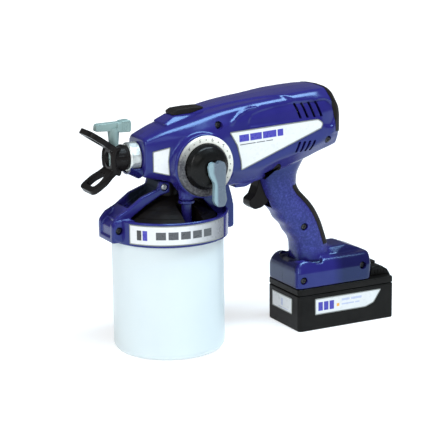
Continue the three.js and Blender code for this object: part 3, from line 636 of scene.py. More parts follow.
def housing_ring(x, inset, fine=True):
    low, crease, crown, low_half, half, crease_half = (
        along(knots, x) - inset * HOUSING_SHRINK[key] for key, knots in HOUSING.items())
    rise = crease - low
    outline = [
        (0, crown), (crease_half * 0.55, crown - (crown - crease) * 0.25, 8),
        (crease_half - 2.9, crease + 0.6, 1.2), (crease_half - 0.5, crease - 1.1, 1.6),
        (crease_half + 1.5, crease - 3.3, 1.2),
        (half - (half - crease_half) * 0.2, crease - rise * 0.17, 8), (half, crease - rise * 0.33, 8),
        (half, low + rise * 0.22, 10), (low_half, low, 5), (0, low),
    ]
    arcs = round_corners(outline, 4 if fine else 1, closed=False)
    steps = 3 if fine else 1
    dense = [(u0 + (u1 - u0) * k / steps, v0 + (v1 - v0) * k / steps)
             for (u0, v0), (u1, v1) in zip(arcs, arcs[1:]) for k in range(steps)]
    dense.append(arcs[-1])
    return [(x, -y, z) for y, z in dense] + [(x, y, z) for y, z in dense[-2:0:-1]]


def housing_solid(name, inset, step=3.0):
    """The motor housing; inset shrinks it all round. Its ends are rounded when its steps are fine."""
    front, rear = HOUSING_FRONT + max(inset, 0), HOUSING_REAR - max(inset, 0)
    fine = step < 5
    count = round((rear - front) / step)
    places = [front + (rear - front) * i / count for i in range(count + 1)]
    rings = [housing_ring(min(max(x, front + 0.6), rear - 0.6), inset, fine) for x in places]
    if fine:
        rings = [housing_ring(front, inset + 1.6), *rings, housing_ring(rear, inset + 1.6)]
    return loft(name, rings)


# The handle's level sections: front edge, back edge and half-width at each height.
HANDLE = {
    "front": [(60, 132.6), (80, 131.6), (88, 128), (98, 121), (108, 113.2), (118, 106.2), (128, 100.2),
              (141, 94.6), (150, 92), (168, 92)],
    "back": [(60, 172), (80, 165.6), (88, 163.2), (98, 160), (108, 155.6), (118, 149.4), (128, 140.4),
             (133, 135.6), (141, 131.6), (150, 132.4), (160, 137.4), (168, 143)],
    "half": [(60, 21), (80, 18.2), (118, 18.6), (150, 19), (168, 20)],
}


def finger_ripple(z):
    """Shallow finger waves down the front of the handle."""
    fade = max(0.0, min(1.0, (z - 82) / 8, (134 - z) / 10))
    return 0.75 * fade * math.sin(2 * math.pi * (z - 82) / 14)


def handle_ring(z, inset, sides=56):
    front, back, half = (along(HANDLE[key], z) for key in ("front", "back", "half"))
    front, back, half = front + finger_ripple(z) + inset, back - inset, half - inset
    ring = []
    for i in range(sides):
        angle = (i + 0.5) * 2 * math.pi / sides
        u, v = (math.copysign(abs(way) ** 0.78, way) for way in (math.cos(angle), math.sin(angle)))
        ring.append(((front + back) / 2 + u * (back - front) / 2, v * half, z))
    return ring


def handle_solid(name, inset, low=60, high=168, step=2.5, sides=56):
    count = round((high - low) / step)
    heights = [low + (high - low) * i / count for i in range(count + 1)]
    return loft(name, [handle_ring(z, inset, sides) for z in heights])


# The foot's level outlines: height, front, rear, half-width and corner.
FOOT_LEVELS = [
    (42, 121.6, 203, 29.2, 6), (43, 121.2, 203.6, 29.4, 6), (57, 121.2, 204.4, 29.4, 6),
    (62, 122.4, 204.6, 27.6, 6), (66, 124.6, 204.6, 25.4, 6), (68, 127.4, 204, 23.4, 5),
    (68.6, 130, 203, 21.4, 4),
]


def foot_solid():
    base = loft("foot", [
        [(x, y, z) for x, y in round_corners(rectangle(front, -half, rear, half, corner), 6)]
        for z, front, rear, half, corner in FOOT_LEVELS])
    pocket = loft("pocket", [handle_ring(63.4, -5.2), handle_ring(72, -5.2)])
    joined(pocket, moved(copy_of(pocket), shift(-3.4, 0, 0)))
    cut(base, shared(pocket, block("keep", (110, -40, 60), (151, 40, 80))))
    raised = hull("raised", both_sides(
        (151, 21, 60), (207, 20, 55), (158, 13.5, 75.2), (184, 13.5, 76), (201, 14.5, 69.6),
        (207.4, 16, 61), (170, 19, 69)))
    return joined(base, rounded_edges(raised, 2.2, 3, 20))


def band(name, outline, inner, outer, side):
    """The layer between two insets of the housing, where an outline covers its side or its top."""
    plane, low, high = ("XY", 190, 260) if side == "top" else ("XZ", -50, -15)
    region = prism(name, outline, plane, low, high)
    layer = housing_solid("outer", outer, 4)
    if inner is not None:
        cut(layer, housing_solid("inner", inner, 4))
    return shared(region, layer)


# Sculpted areas of the motor housing, in (x, z) on its sides or (x, y) on its top.
REAR_PANEL = [
    (68, 203.4), (67.6, 210, 4), (73, 215.2, 4), (82, 217.6, 6), (95, 219.8, 8), (108, 221.2, 4),
    (150, 222.6, 6), (159, 217, 8), (161, 205, 6), (157, 196, 5), (147, 197, 4), (143, 205.6, 3),
]
FLARE_RIDGE = [(49, 208.6), (50.4, 208.2), (59.4, 214.6), (70, 219.4), (80, 221), (70, 220.6),
               (58.4, 216.4)]
SPINE = symmetric([(20, -8.6), (34, -9.4), (60, -12.6), (85, -17), (104, -22.5), (116, -30), (170, -34)])


def housing_form():
    """The whole outer form as one soft-edged solid."""
    form = housing_solid("form", 0)
    joined(form, band("spine", SPINE, None, -1.3, "top"))
    panel = band("panel", REAR_PANEL, 1.1, -3, "side")
    ridge = band("ridge", FLARE_RIDGE, 3, -1.1, "side")
    cut(form, twin_of(panel), panel)
    joined(form, twin_of(ridge), ridge)
    plinth = hull("plinth", both_sides(
        (3.4, 8.8, 216.4), (-7, 11.8, 210.6), (-4, 15.4, 207.6), (16, 16, 212), (18, 11.6, 217.1),
        (34, 8.8, 216.8), (34, 12, 216), (20, 4, 200), (0, 4, 200)))
    seat = DIAL_HIGH.y + 0.3
    pad = lathe("pad", [(0, seat), (29.3, seat, 1.2), (31.4, -19), (0, -19)], "Y", DIAL, 72)
    socket = lathe("socket", [(0, 142.3), (6.6, 142.3, 1), (7, 143.6), (7.2, 165), (0, 165)],
                   "Z", TUBE_AXIS, 40)
    web = hull("web", both_sides(
        (63, 15, 144.6), (74, 14, 144.2), (84, 12, 148), (60, 20, 153), (92, 18, 155)))
    joined(form, handle_solid("handle", 0), foot_solid(), plinth, pad, socket, web)
    return soften(form, 0.9, 10)


HOUSING_SCREWS = {
    # name: x, z
    "housing_screw_front": (38.3, 207.8),
    "housing_screw_rear": (152.4, 184),
    "handle_screw": (135, 99.6),
    "foot_screw_front": (128, 50),
    "foot_screw_rear": (193.7, 56.6),
}


def screw_well(name, x, z):
    """The hole for a screw's head, wider towards its mouth."""
    face = box_mm(name)[0].y
    mouth, floor = face - 20, face + 3
    return lathe("well", [(0, mouth), (4.1, mouth), (3.6, floor), (0, floor)], "Y", (x, 0, z), 32)


def slanted_slot(x, z, length, lean):
    half = 1.35
    outline = [(x - half, z, 1.2), (x + half, z, 1.2), (x + half + lean, z + length, 1.2),
               (x - half + lean, z + length, 1.2)]
    return prism("slot", outline, "XZ", -45, -24, 4)


def vents():
    slots = [slanted_slot(122.4 + 7.4 * i, 206.6, 14.5, -5.6) for i in range(4)]
    slots += [slanted_slot(116.8 + 5.4 * i, 175.4, 10, 4.2) for i in range(4)]
    tools = joined(*slots)
    return joined(twin_of(tools), tools)


def lock_slot(name, slack, low, high):
    """The trigger lock's leaning bolt, or with a slack its way through the housing."""
    reach, lean, radius, steps = 8.2, 0.47, 3.3 + slack, 12
    x, z = 94, 158.5
    points = []
    for end in (-reach, reach):
        for k in range(steps + 1):
            angle = lean - math.pi / 2 + math.pi * k / steps
            points.append((x + end * math.cos(lean) + radius * math.cos(angle),
                           z + end * math.sin(lean) + radius * math.sin(angle)))
    return prism(name, points, "XZ", low, high)


def back_strip_tool(depth, half):
    low, high, steps = 80, 141, 24
    heights = [low + (high - low) * i / steps for i in range(steps + 1)]
    outer = [(along(HANDLE["back"], z) + 5, z) for z in heights]
    inner = [(along(HANDLE["back"], z) - depth, z) for z in reversed(heights)]
    return prism("strip", outer + inner, "XZ", -half, half)


REAR_CAP = [(152.6, 240), (153.6, 230), (156.6, 218, 4), (159.4, 206, 3), (161, 191, 0.6),
            (180, 190.6), (180, 240)]


def wrapped(name, form, region, thickness):
    """A cover that lies in the skin of a form wherever a region touches it, and the pocket it sits in."""
    skin = modified(copy_of(form, name), "DISPLACE", strength=0.3 * MM, mid_level=0)
    cover = shared(skin, copy_of(region))
    core = modified(copy_of(form), "DISPLACE", strength=-thickness * MM, mid_level=0)
    pocket = cut(region, copy_of(core))
    return cut(cover, core), pocket


def rear_cap(cap):
    """The black end cover, with air slots across its back."""
    cut(cap, *[block("slot", (165.6, -13, 195 + 4.6 * i), (180, 13, 196.4 + 4.6 * i)) for i in range(4)])
    finish(largest_part(cap), "black", "body", "rear_cap")


def grip_strip(strip):
    """Soft strip down the back of the handle, with small ribs across it."""
    heights = [84 + i * 3.6 for i in range(15)]
    grooves = [rod("groove", 0.6, -9, 9, "Y", (along(HANDLE["back"], z) + 0.4, 0, z), 10) for z in heights]
    cut(strip, joined(*grooves))
    finish(largest_part(strip), "rubber", "body", "grip_strip")


def housing_shells():
    form = housing_form()
    cap_region = prism("cap_region", REAR_CAP, "XZ", -40, 40)
    cap, cap_pocket = wrapped("rear_cap_cover", form, cap_region, 1.8)
    strip, strip_pocket = wrapped("grip_strip_pad", form, back_strip_tool(9.6, 30), 2.2)
    cut(form, cap_pocket, strip_pocket)
    rear_cap(cap)
    grip_strip(strip)
    cavity = housing_solid("cavity", WALL + 0.6, 12)
    joined(cavity, handle_solid("handle_cavity", WALL + 0.4, 66, 164, 8, 20),
           block("foot_cavity", (126, -25, 45), (198, 25, 59)),
           rod("dial_cavity", 26, DIAL_HIGH.y + 3, -10, "Y", DIAL, 32))
    cut(cavity, *[rod("boss", 5.4, -40, 20, "Y", (x, 0, z), 24) for x, z in HOUSING_SCREWS.values()])
    cut(form, cavity,
        *[screw_well(name, x, z) for name, (x, z) in HOUSING_SCREWS.items()],
        vents(),
        rod("outlet", 9.4, -40, -20, "X", SPRAY_AXIS),
        rod("inlet", 11.4, 140, 175),
        rod("spindle", 9.2, -40, -10, "Y", DIAL),
        rod("return", 4.9, 140, 156, "Z", TUBE_AXIS, 32),
        prism("mouth", [(86, 119.4), (112, 119.4), (112, 153, 2), (86, 153, 2)], "XZ", -7.6, 7.6),
        rod("pivot", 2.3, -11.8, 12.8, "Y", PIVOT, 24),
        lock_slot("bolt", 0.3, -45, 45),
        block("rail_way", (128, -18.3, 40), (220, 18.3, 47.6)))
    left = copy_of(form, "housing_left_shell")
    form.name = "housing_right_shell"
    cut(form, block("half", (-100, SEAM, 0), (300, 100, 300)))
    cut(left, block("half", (-100, -100, 0), (300, -SEAM, 300)))
    for piece, node in ((form, "housing_right"), (left, "housing_left")):
        finish(largest_part(piece), "blue", "body", node, angle=38)


def nose_shroud():
    low, high = box_mm("nose_shroud")
    cone = lathe("nose_shroud_cover", [
        (13.8, low.x), (15, low.x, 0.4), (20.5, high.x, 0.4), (13.8, high.x)], "X", SPRAY_AXIS, 96)
    shared(cone, prism("keep", [(low.y, 140), (high.y, 140), (high.y, high.z, 2), (low.y, high.z, 2)],
                       "YZ", low.x - 1, high.x + 1))
    lip = tube("lip", 15.4, 13.9, -40.6, low.x + 1, "X", SPRAY_AXIS, 96)
    shared(lip, prism("under", rectangle(-13, SPRAY_Z - 20, 13, SPRAY_Z - 7.6), "YZ", -60, 0))
    # the darker blue is painted shade on the nose's front
    finish(rounded_edges(joined(cone, lip), 0.4), "dark_blue", "body", "nose_shroud")


def top_insert():
    """The rubber pad on the nose's raised seat, with shallow grooves across it."""
    low, high = box_mm("top_insert")
    pad = prism("top_insert_pad", [
        (low.x, 216.6), (20, 216.9), (26, 218.0), (high.x, 220.2), (high.x, high.z - 0.2, 1),
        (20, 222.2, 8), (low.x + 4, 221.4, 3), (low.x, 219.2, 0.8)], "XZ", low.y, high.y)
    grooves = [rod("groove", 0.5, low.y + 1.8, high.y - 1.8, "Y", (low.x + 7 + 3 * i, 0, 222.15), 12)
               for i in range(6)]
    cut(rounded_edges(pad, 0.8, 3, 25), *grooves)
    finish(pad, "rubber", "body", "top_insert")


# ---- labels

def inset_outline(points, distance):
    """An outline moved inwards; its points run anticlockwise or clockwise."""
    nexts = points[1:] + points[:1]
    area = sum(u0 * v1 - u1 * v0 for (u0, v0), (u1, v1) in zip(points, nexts))
    sign = 1 if area > 0 else -1
    result = []
    for i, (point, following) in enumerate(zip(points, nexts)):
        here = Vector(point)
        before = (here - Vector(points[i - 1])).normalized()
        after = (Vector(following) - here).normalized()
        inward = Vector((-(before.y + after.y), before.x + after.x)).normalized() * sign
        stretch = max(0.6, Vector((-before.y, before.x)).dot(inward) * sign)
        result.append((here + inward * distance / stretch)[:])
    return result


def flat_label(name, outline, plane, near, far, film, rim=0.9):
    """A label film with a raised clear edge round it, as two pieces."""
    corners = inset_outline([point[:2] for point in outline], rim)
    radii = [point[2] if len(point) > 2 else 0 for point in outline]
    smaller = [(*corner, max(0.2, radius - rim)) for corner, radius in zip(corners, radii)]
    border = prism(name + "_border", outline, plane, near, far)
    cut(border, prism("hole", smaller, plane, near - 5, far + 5))
    thin = 0.12 * (1 if far > near else -1)
    inner = prism(name + "_film", smaller, plane, near, far - thin)
    return coloured(shaded(border), LOOKS["label_edge"][0]), coloured(shaded(inner), film)


def text_bars(left, top, widths, height, gap, ink):
    """A row of short bars that stands for printed words."""
    bars = []
    for width in widths:
        bars.append((left, left + width, top - height, top, ink))
        left += width + gap
    return bars


SIDE_LABEL = [(47.5, 201, 1), (100, 203.4), (140, 205, 4), (145.6, 201, 4), (143.5, 196, 2),
              (59, 165, 1), (58.4, 174, 10), (55, 188, 12)]


def side_label(side):
    lean = math.atan2(4, 92.5)
    c, s = math.cos(lean), math.sin(lean)

    def u(paint):
        return paint.math("ADD", paint.times(paint.axis("X"), c), paint.times(paint.axis("Z"), s))

    def v(paint):
        return paint.math("SUBTRACT", paint.times(paint.axis("Z"), c), paint.times(paint.axis("X"), s))

    left, top = 57 * c + 197 * s, 197.6 * c - 57 * s
    bars = text_bars(left, top, (10, 12, 14, 6), 6.4, 1.2, BLUE_INK)
    bars += text_bars(left + 0.5, top - 8.6, (16, 9, 7), 0.8, 1.0, GREY_INK)
    name = "side_label_" + side
    film = printed(name + "_print", u, v, bars)
    face = SIDE_FACE + 0.28
    for piece in flat_label(name, SIDE_LABEL, "XZ", -face + 0.3, -face - 0.35, film):
        if side == "left":
            placed(mirrored(piece), "label_film", "body")
        else:
            placed(piece, "label_film", "body", "side_label")


def front_label():
    outline = [(-9, 11, 0.8), (-9, -7.5, 0.8), (6.2, -11.4, 0.8), (5.4, 2, 10), (7, 14.4, 0.8)]
    blank = printed("front_label_print", "X", "Z", [])
    place = (shift(-14, -along(HOUSING["half"], -14) - 0.35, 177)
             @ Matrix.Rotation(-math.atan2(5.3, 18), 4, "Z"))
    for piece in flat_label("front_label", outline, "XZ", 0.1, -0.45, blank, 0.8):
        placed(moved(piece, place), "label_film", "body", "front_label")


def collar_label():
    """A curved label round the cup's collar."""
    outer = COLLAR_RADIUS + 0.35
    low, high = box_mm("collar_label")
    start, end, rim, steps = -2.66, -0.9, 0.9, 72

    def shell(name, edge, inner, skin):
        first, last = start + edge / outer, end - edge / outer
        rings = []
        for i in range(steps + 1):
            angle = first + (last - first) * i / steps
            c, s = math.cos(angle), math.sin(angle)
            corners = rectangle(inner, low.z + edge, skin, high.z - edge)
            rings.append([(r * c, r * s, z) for r, z, _ in corners])
        return loft(name, rings)

    def along_collar(paint):
        return paint.times(paint.math("ARCTAN2", paint.axis("Y"), paint.axis("X")), outer * MM)

    # a plain mark of two slanted blocks, then a row of blocks for the words
    bars = [(outer * -2.52, outer * -2.44, 113, 122, (0.03, 0.03, 0.03)),
            (outer * -2.42, outer * -2.34, 113, 122, BLUE_INK)]
    bars += text_bars(outer * -2.2, 121, (9, 9, 9, 9, 9), 7, 2.2, GREY_INK)
    # the fade is painted shade on the end of the label that curves away from the light
    film = printed("collar_label_print", along_collar, "Z", bars, (-98, -58, (0.15, 0.15, 0.165)))
    border = shell("collar_label_border", 0, outer - 0.25, outer)
    cut(border, shell("hole", rim, outer - 4, outer + 4))
    finish(border, "label_edge", "body", "collar_label")
    inner = shell("collar_label_film", rim, outer - 0.25, outer - 0.1)
    placed(coloured(shaded(inner), film), "label_film", "body", "collar_label")


# ---- controls

def trigger():
    low, high = box_mm("trigger")
    lever = prism("trigger_lever", [
        (92.5, 149, 1), (90.6, 141, 6), (87.6, 133.6, 4), (82.4, 129.6, 4), (82.2, 123.6, 4),
        (87.8, 119.6, 5), (95, 120.8, 5), (101, 124.4, 4), (105, 134, 8), (105, 149, 1)],
        "XZ", low.y, high.y)
    cut(rounded_edges(lever, 2.2, 5, 28), rod("bore", 2.3, -20, 20, "Y", PIVOT, 24))
    finish(lever, "black", "trigger", "trigger")


def trigger_lock():
    low, high = box_mm("trigger_lock")
    bolt = lock_slot("trigger_lock_bolt", -0.1, low.y, high.y)
    finish(rounded_edges(bolt, 0.7), "black", "trigger_lock", "trigger_lock")


def dial_point(radius, angle):
    return DIAL.x + radius * math.cos(angle), DIAL.z + radius * math.sin(angle)


def number_mesh(number, x, y, z):
    """A raised number that stands upright at a point, facing -Y."""
    text = bpy.data.curves.new("number", "FONT")
    text.body = str(number)
    text.size = 4.2 * MM
    text.extrude = 0.06 * MM
    text.align_x = text.align_y = "CENTER"
    item = linked("number", text)
    mesh = evaluated_mesh(item)
    bpy.data.objects.remove(item)
    mesh.transform(shift(x, y, z) @ Matrix.Rotation(math.pi / 2, 4, "X"))
    return mesh


def dial_ring():
    """The printed ring round the pressure knob, with a scale from 1 to 10."""
    front, back = DIAL_LOW.y, DIAL_HIGH.y
    outer = (DIAL_HIGH.x - DIAL_LOW.x) / 2
    inner = box_mm("pressure_knob")[1].x - DIAL.x + 0.3
    ring = lathe("dial_scale_ring", [
        (inner, front, 0.4), (outer - 1.4, front, 0.5), (outer, front + 1.3, 0.4), (outer, back),
        (inner, back)], "Y", DIAL, 128)
    finish(ring, "scale", "body", "dial_ring")
    middle = (inner + outer) / 2 - 0.2
    first, last, count = math.radians(225), math.radians(-45), 10
    step = (last - first) / (count - 1)
    work = bmesh.new()
    for i in range(count):
        x, z = dial_point(middle, first + i * step)
        work.from_mesh(number_mesh(i + 1, x, front - 0.02, z))
        if i + 1 < count:
            x, z = dial_point(middle, first + (i + 0.5) * step)
            dot = rod("dot", 0.55, front - 0.08, front + 0.2, "Y", (x, 0, z), 16)
            work.from_mesh(dot.data)
            bpy.data.objects.remove(dot)
    marks = bpy.data.meshes.new("dial_numbers")
    work.to_mesh(marks)
    work.free()
    ink, slot = LOOKS["ink"]
    placed(coloured(linked("dial_numbers", marks), ink), slot, "body")


def pressure_knob():
    high = box_mm("pressure_knob")[1]
    radius, back = high.x - DIAL.x, DIAL_HIGH.y - 0.4
    knob = lathe("pressure_knob_dial", [
        (0, -46.4), (8, -46.5, 6), (13.4, -45.8, 8), (18.6, -42.4, 5), (radius, -38.6, 2),
        (radius, back), (4, back), (4, high.y), (0, high.y)], "Y", DIAL, 128, 6)
    flutes = [rod("flute", 0.8, -41.5, DIAL_HIGH.y - 1.2, "Y", (DIAL.x + u, 0, DIAL.z + v), 12)
              for u, v in around(30, radius + 0.5)]
    cut(knob, joined(*flutes), rod("bore", 2.6, -60, -26, "Y", DIAL, 32))
    finish(knob, "dial_black", "pressure_knob", "pressure_knob")


# The prime lever's outline, from the dial's centre: a two-lobed head and a long arm.
LEVER = [
    (-5.3, 1.6, 2), (-3.8, 6, 3), (0.2, 6.4, 2), (2, 4.4, 1.2), (4.4, 7, 2.5), (9, 6.6, 3), (11.6, 1, 4),
    (11.0, -8, 6), (10.2, -17.8, 8), (12.2, -28.4, 3), (9, -34, 3.4), (2.2, -34.2, 3.4), (-0.8, -29, 3),
    (-0.1, -13, 6), (-4, -6, 5),
]


def prime_lever():
    """A lever with a ridge down its length, between two slopes."""
    low, high = box_mm("prime_lever")
    x, z, front = DIAL.x, DIAL.z, low.y
    lever = prism("prime_lever_arm", [(x + u, z + v, radius) for u, v, radius in LEVER],
                  "XZ", front, front + 5.2, 6)
    for side, ridge, depth in ((-8, 3.2, 4.4), (14, 7.5, 2.2)):
        cut(lever, prism("slope", [(x + side, front - 1), (x + ridge, front - 1), (x + side, front + depth)],
                         "XY", z - 40, z + 12))
    rounded_edges(lever, 0.9, 4, 18)
    joined(lever, rod("pin", 2.2, -48, high.y, "Y", DIAL, 32))
    finish(lever, "lever", "prime_lever", "prime_lever")


# ---- spray head

def guard_wing(direction):
    """One of the guard's two wings: a thick loop that leans away from the spray."""
    loop = symmetric([(-2, -10.6), (8, -12, 8), (16, -15.4, 12), (31.4, -15, 12)])
    hole = symmetric([(9, -4, 2), (17, -8.8, 5), (25.6, -9, 4)])
    wing = cut(prism("wing", loop, "XY", -2.6, 2.6, 8), prism("hole", hole, "XY", -5, 5, 8))
    return moved(wing, shift(-53, 0, SPRAY_Z + direction * 9.0)
                 @ Matrix.Rotation(math.pi + direction * 0.6, 4, "Y"))


def guard_strut(side):
    """A thick curved rib from the upper wing to the lower one, beside the barrel's mouth."""
    path = [(-50, 11.5, 3), (-54.4, 9.4, 3), (-56, 5, 3), (-56.4, -0.5, 3), (-56, -6, 3), (-54.4, -10, 3),
            (-50, -12, 3)]
    return swept("strut", [(x, side * 9.8, SPRAY_Z + z) for x, z in round_corners(path, closed=False)], 2.7)


def tip_guard():
    barrel = lathe("tip_guard_body", [
        (0, -57.4), (9.6, -57.4, 0.8), (11.6, -54.6, 2), (12.3, -44, 2), (11.2, -40.6, 0.6), (0, -40.6)],
        "X", SPRAY_AXIS, 80)
    joined(barrel, guard_wing(1), guard_wing(-1), guard_strut(-1), guard_strut(1))
    soften(barrel, 0.42, 5)
    angles = [math.radians(d) for d in (-40, -20, 0, 20, 40, 140, 160, 180, 200, 220)]
    reach = 12.35
    ribs = [rod("rib", 0.55, -54, -42, "X", (0, reach * math.cos(a), SPRAY_Z + reach * math.sin(a)), 12)
            for a in angles]
    cut(barrel, joined(*ribs),
        rod("bore", 5, -70, -35, "X", SPRAY_AXIS),
        rod("tip_way", 5, SPRAY_Z - 11, SPRAY_Z + 30, "Z", (TIP.x, 0, 0)),
        lathe("mouth", [(0, -60), (8.2, -60), (5.4, -54.8), (0, -54.8)], "X", SPRAY_AXIS))
    finish(largest_part(barrel), "black", "tip_guard", "tip_guard")


def spray_tip():
    low, high = box_mm("spray_tip")
    x = TIP.x
    stem = lathe("spray_tip_body", [
        (0, low.z), (4.6, low.z, 0.6), (4.6, 192.4, 0.4), (4.2, 193.4, 0.6), (5.2, 205, 1), (5.2, 209.4),
        (0, 209.4)], "Z", (x, 0, 0))
    arm = prism("arm", [(low.x, 207.7, 1.4), (x + 6, 206.4, 1), (x + 6, 214.6, 1), (low.x + 0.8, 214.2, 3)],
                "XZ", -3.5, 3.5)
    head = prism("head", [(x + 2, 206), (x + 5, 205.2, 1), (high.x - 0.6, 204.8, 2), (high.x, 212, 3),
                          (high.x - 1, 215.9, 2), (x + 7, 215.4, 2), (x + 2, 213)], "XZ", -5, 5)
    joined(stem, rounded_edges(arm, 1.1), rounded_edges(head, 1.0))
    ribs = [block("rib", (x + 6.4 + 2.1 * i, y - 0.35, 206.4), (x + 7.4 + 2.1 * i, y + 0.35, 214.4))
            for i in range(4) for y in (-5, 5)]
    cut(stem, *ribs, rod("orifice", 1, x - 8, x + 8, "X", SPRAY_AXIS, 24))
    finish(stem, "tip", "spray_tip", "spray_tip")


def guard_nut():
    low, high = box_mm("guard_nut")
    nut = lathe("guard_nut_ring", [
        (8.6, low.x, 0.3), (12.2, low.x, 0.6), (13.4, low.x + 1.4, 0.6), (13.4, high.x - 1.2, 0.6),
        (12.4, high.x, 0.4), (8.6, high.x, 0.3)], "X", SPRAY_AXIS, 144)
    count = 12
    for i in range(count):
        flat = block("flat", (low.x + 2.4, 13.0, -3.1), (high.x - 2.2, 15, 3.1))
        turned_by(flat, 2 * math.pi * i / count, "X")
        cut(nut, moved(flat, shift(*SPRAY_AXIS)))
    finish(rounded_edges(nut, 0.25, 2, 25), "nut", "guard_nut", "guard_nut")


# ---- collar, cup and what is in them

COLLAR_RADIUS = 56
RING_INNER = 52.1


def front_arm():
    """The strap from the collar to the nose, open along its top between two ribs."""
    arm = prism("arm", [
        (-61.8, 107.5, 1), (-61.8, 124.5, 7), (-56, 131.6, 6), (-46, 136.4, 8), (-32, 146.4, 10),
        (-15, 152.4, 2), (-13.4, 159, 1), (-4, 157.4, 1), (-4, 148.5, 2), (-13, 146.5, 6), (-28, 138.4, 8),
        (-41, 130, 8), (-46.4, 126, 4), (-48.5, 121, 3), (-48.5, 107.5, 1)], "XZ", -15.5, 15.5, 6)
    channel = prism("channel", [(-43, 131.6, 2), (-17, 146.8, 1), (-12, 170), (-48, 170)], "XZ", -11, 11)
    shallow = prism("shallow", [(-64.5, 112, 2), (-60.2, 112, 2), (-60.2, 122, 5), (-50, 130.6, 4),
                                (-47, 137), (-64, 137)], "XZ", -10.5, 10.5)
    cut(arm, channel, shallow)
    ear = prism("ear", [(-61.2, 108.5, 9), (-60.8, 127.6, 10), (-46, 128.2, 6), (-40, 126.6), (-40, 108.5)],
                "XZ", -17.6, -12, 8)
    far_ear = twin_of(ear)
    return joined(arm, ear, far_ear)


def rear_arm():
    arm = prism("rear", [(48, 108), (61.6, 108, 3), (62, 128, 8), (60, 138, 8), (57, 148.8, 1.5),
                         (45.4, 148.8, 1.5), (47, 138, 8), (49, 128)], "XZ", -13.6, 13.6)
    return cut(arm, prism("groove", [(58, 112, 2), (66, 112), (66, 140), (57.6, 140, 2)], "XZ", -8, 8))


def collar_frame():
    bottom, top = box_mm("collar_frame")[0].z, 128.4
    lid_top = box_mm("cup_lid")[1].z
    seat, shelf = lid_top + 0.3, lid_top + 2.6
    ring = lathe("collar_ring_frame", [
        (RING_INNER, bottom), (COLLAR_RADIUS - 0.4, bottom, 1.2), (COLLAR_RADIUS, top - 0.8, 0.8),
        (COLLAR_RADIUS - 0.8, top + 0.2, 0.5), (54.2, top + 0.2, 0.9), (53.6, top - 2.4, 0.9),
        (52.4, shelf, 1), (46, shelf), (46, seat), (RING_INNER, seat)], segments=180)
    brace = prism("brace", [(19, 151, 1), (27.5, 151, 1), (49.5, 130, 2), (49.5, 122), (43.6, 122, 1)],
                  "XZ", -15, -9.6)
    arms = joined(front_arm(), rear_arm(), brace, twin_of(brace))
    cut(arms, rod("inside", RING_INNER, 100, seat, segments=96),
        rod("opening", 46, 100, shelf, segments=96), rod("inlet", 11.6, 120, 175))
    soften(arms, 0.75, 5)
    cut(arms, rod("inside", RING_INNER, 100, seat, segments=96))
    joined(ring, arms)
    cut(ring, screw_well("collar_screw", -55.6, 119), screw_well("arm_screw", -9.6, 153.6))
    finish(largest_part(ring), "strap_blue", "body", "collar_frame", angle=40)


def return_tube():
    pipe = lathe("return_tube_pipe", [
        (2.6, TUBE_LOW.z, 0.2), (4.6, TUBE_LOW.z, 0.4), (4.6, 139.0, 0.6), (7.4, 139.6, 0.5), (7.4, 142, 0.5),
        (4.6, 142.2, 0.4), (4.6, TUBE_HIGH.z), (2.6, TUBE_HIGH.z)], "Z", TUBE_AXIS, 64)
    finish(pipe, "arm_blue", "body", "return_tube")


def inlet_housing():
    low, high = box_mm("inlet_housing")
    dome = lathe("inlet_housing_dome", [
        (4.4, low.z), (45.2, low.z, 1), (44, 125, 3), (34, 131.6, 10), (24, 137.2, 10), (14.6, 141.2, 4),
        (11, 144, 2), (11, high.z), (4.4, high.z)], segments=128)
    steps = ((38.5, 129.6), (29, 135.4))
    cut(dome, *[tube("step", r + 0.5, r, z - 1.5, z + 4, segments=96) for r, z in steps])
    joined(dome, prism("web", [(0, 163), (0, 140), (23, 136), (44, 124), (45, 126, 1), (45, 148.6, 1),
                               (18, 149.5)], "XZ", -5, 5))
    x, y, _ = TUBE_AXIS
    cut(dome, joined(rod("channel", 9.4, 110, 160, "Z", TUBE_AXIS, 40),
                     block("way", (x - 9.4, -60, 110), (x + 9.4, y, 160))))
    finish(rounded_edges(dome, 0.35, 2, 40), "black", "body", "inlet_housing")


def cup():
    """The paint cup, with a shallow hollow under its floor."""
    high = box_mm("cup")[1]
    radius, wall = high.x, 1.8
    bowl = lathe("paint_cup", [
        (0, 0.6), (34, 0.6, 0.4), (35, 0, 0.5), (radius - 3.4, 0, 3.2), (radius, 4.6, 4),
        (radius, high.z, 0.7), (radius - wall, high.z, 0.5), (radius - wall, 5.4, 2.8),
        (radius - 5, 2.6, 1), (0, 2.6)], segments=192)
    finish(bowl, "cup", "cup", "cup")


def cup_fittings():
    low, high = box_mm("cup_lid")
    lid = lathe("cup_lid_plate", [
        (0, low.z), (30, low.z), (31, low.z + 0.8, 0.3), (43, low.z + 0.8, 0.3), (44, low.z),
        (high.x, low.z, 0.4), (high.x, high.z, 0.4), (0, high.z)], segments=128)
    cut(lid, rod("return", 5, 100, 140, "Z", TUBE_AXIS, 32), rod("suction", 4.4, 100, 150))
    finish(lid, "black", "body", "cup_lid")
    low, high = box_mm("suction_tube")
    finish(tube("suction_pipe", 4, 2.6, low.z, high.z, edge=0.2), "cup", "body", "suction_tube")
    low, high = box_mm("inlet_strainer")
    drum = lathe("inlet_strainer_drum", [
        (0, low.z), (10, low.z, 0.8), (10, 8.4, 1.2), (7.6, high.z, 1), (4.3, high.z), (4.3, 11.6),
        (0, 11.6)], segments=72)
    count = 16
    for i in range(count):
        window = block("window", (8.4, -0.9, 5.8), (12, 0.9, 8.2))
        cut(drum, turned_by(window, 2 * math.pi * i / count, "Z"))
    finish(drum, "black", "body", "inlet_strainer")
    low, high = box_mm("cup_gasket")
    gasket = tube("cup_gasket_ring", 51.2, 47, low.z, high.z, segments=128, edge=0.5)
    finish(gasket, "rubber", "cup_gasket", "cup_gasket")


# ---- battery

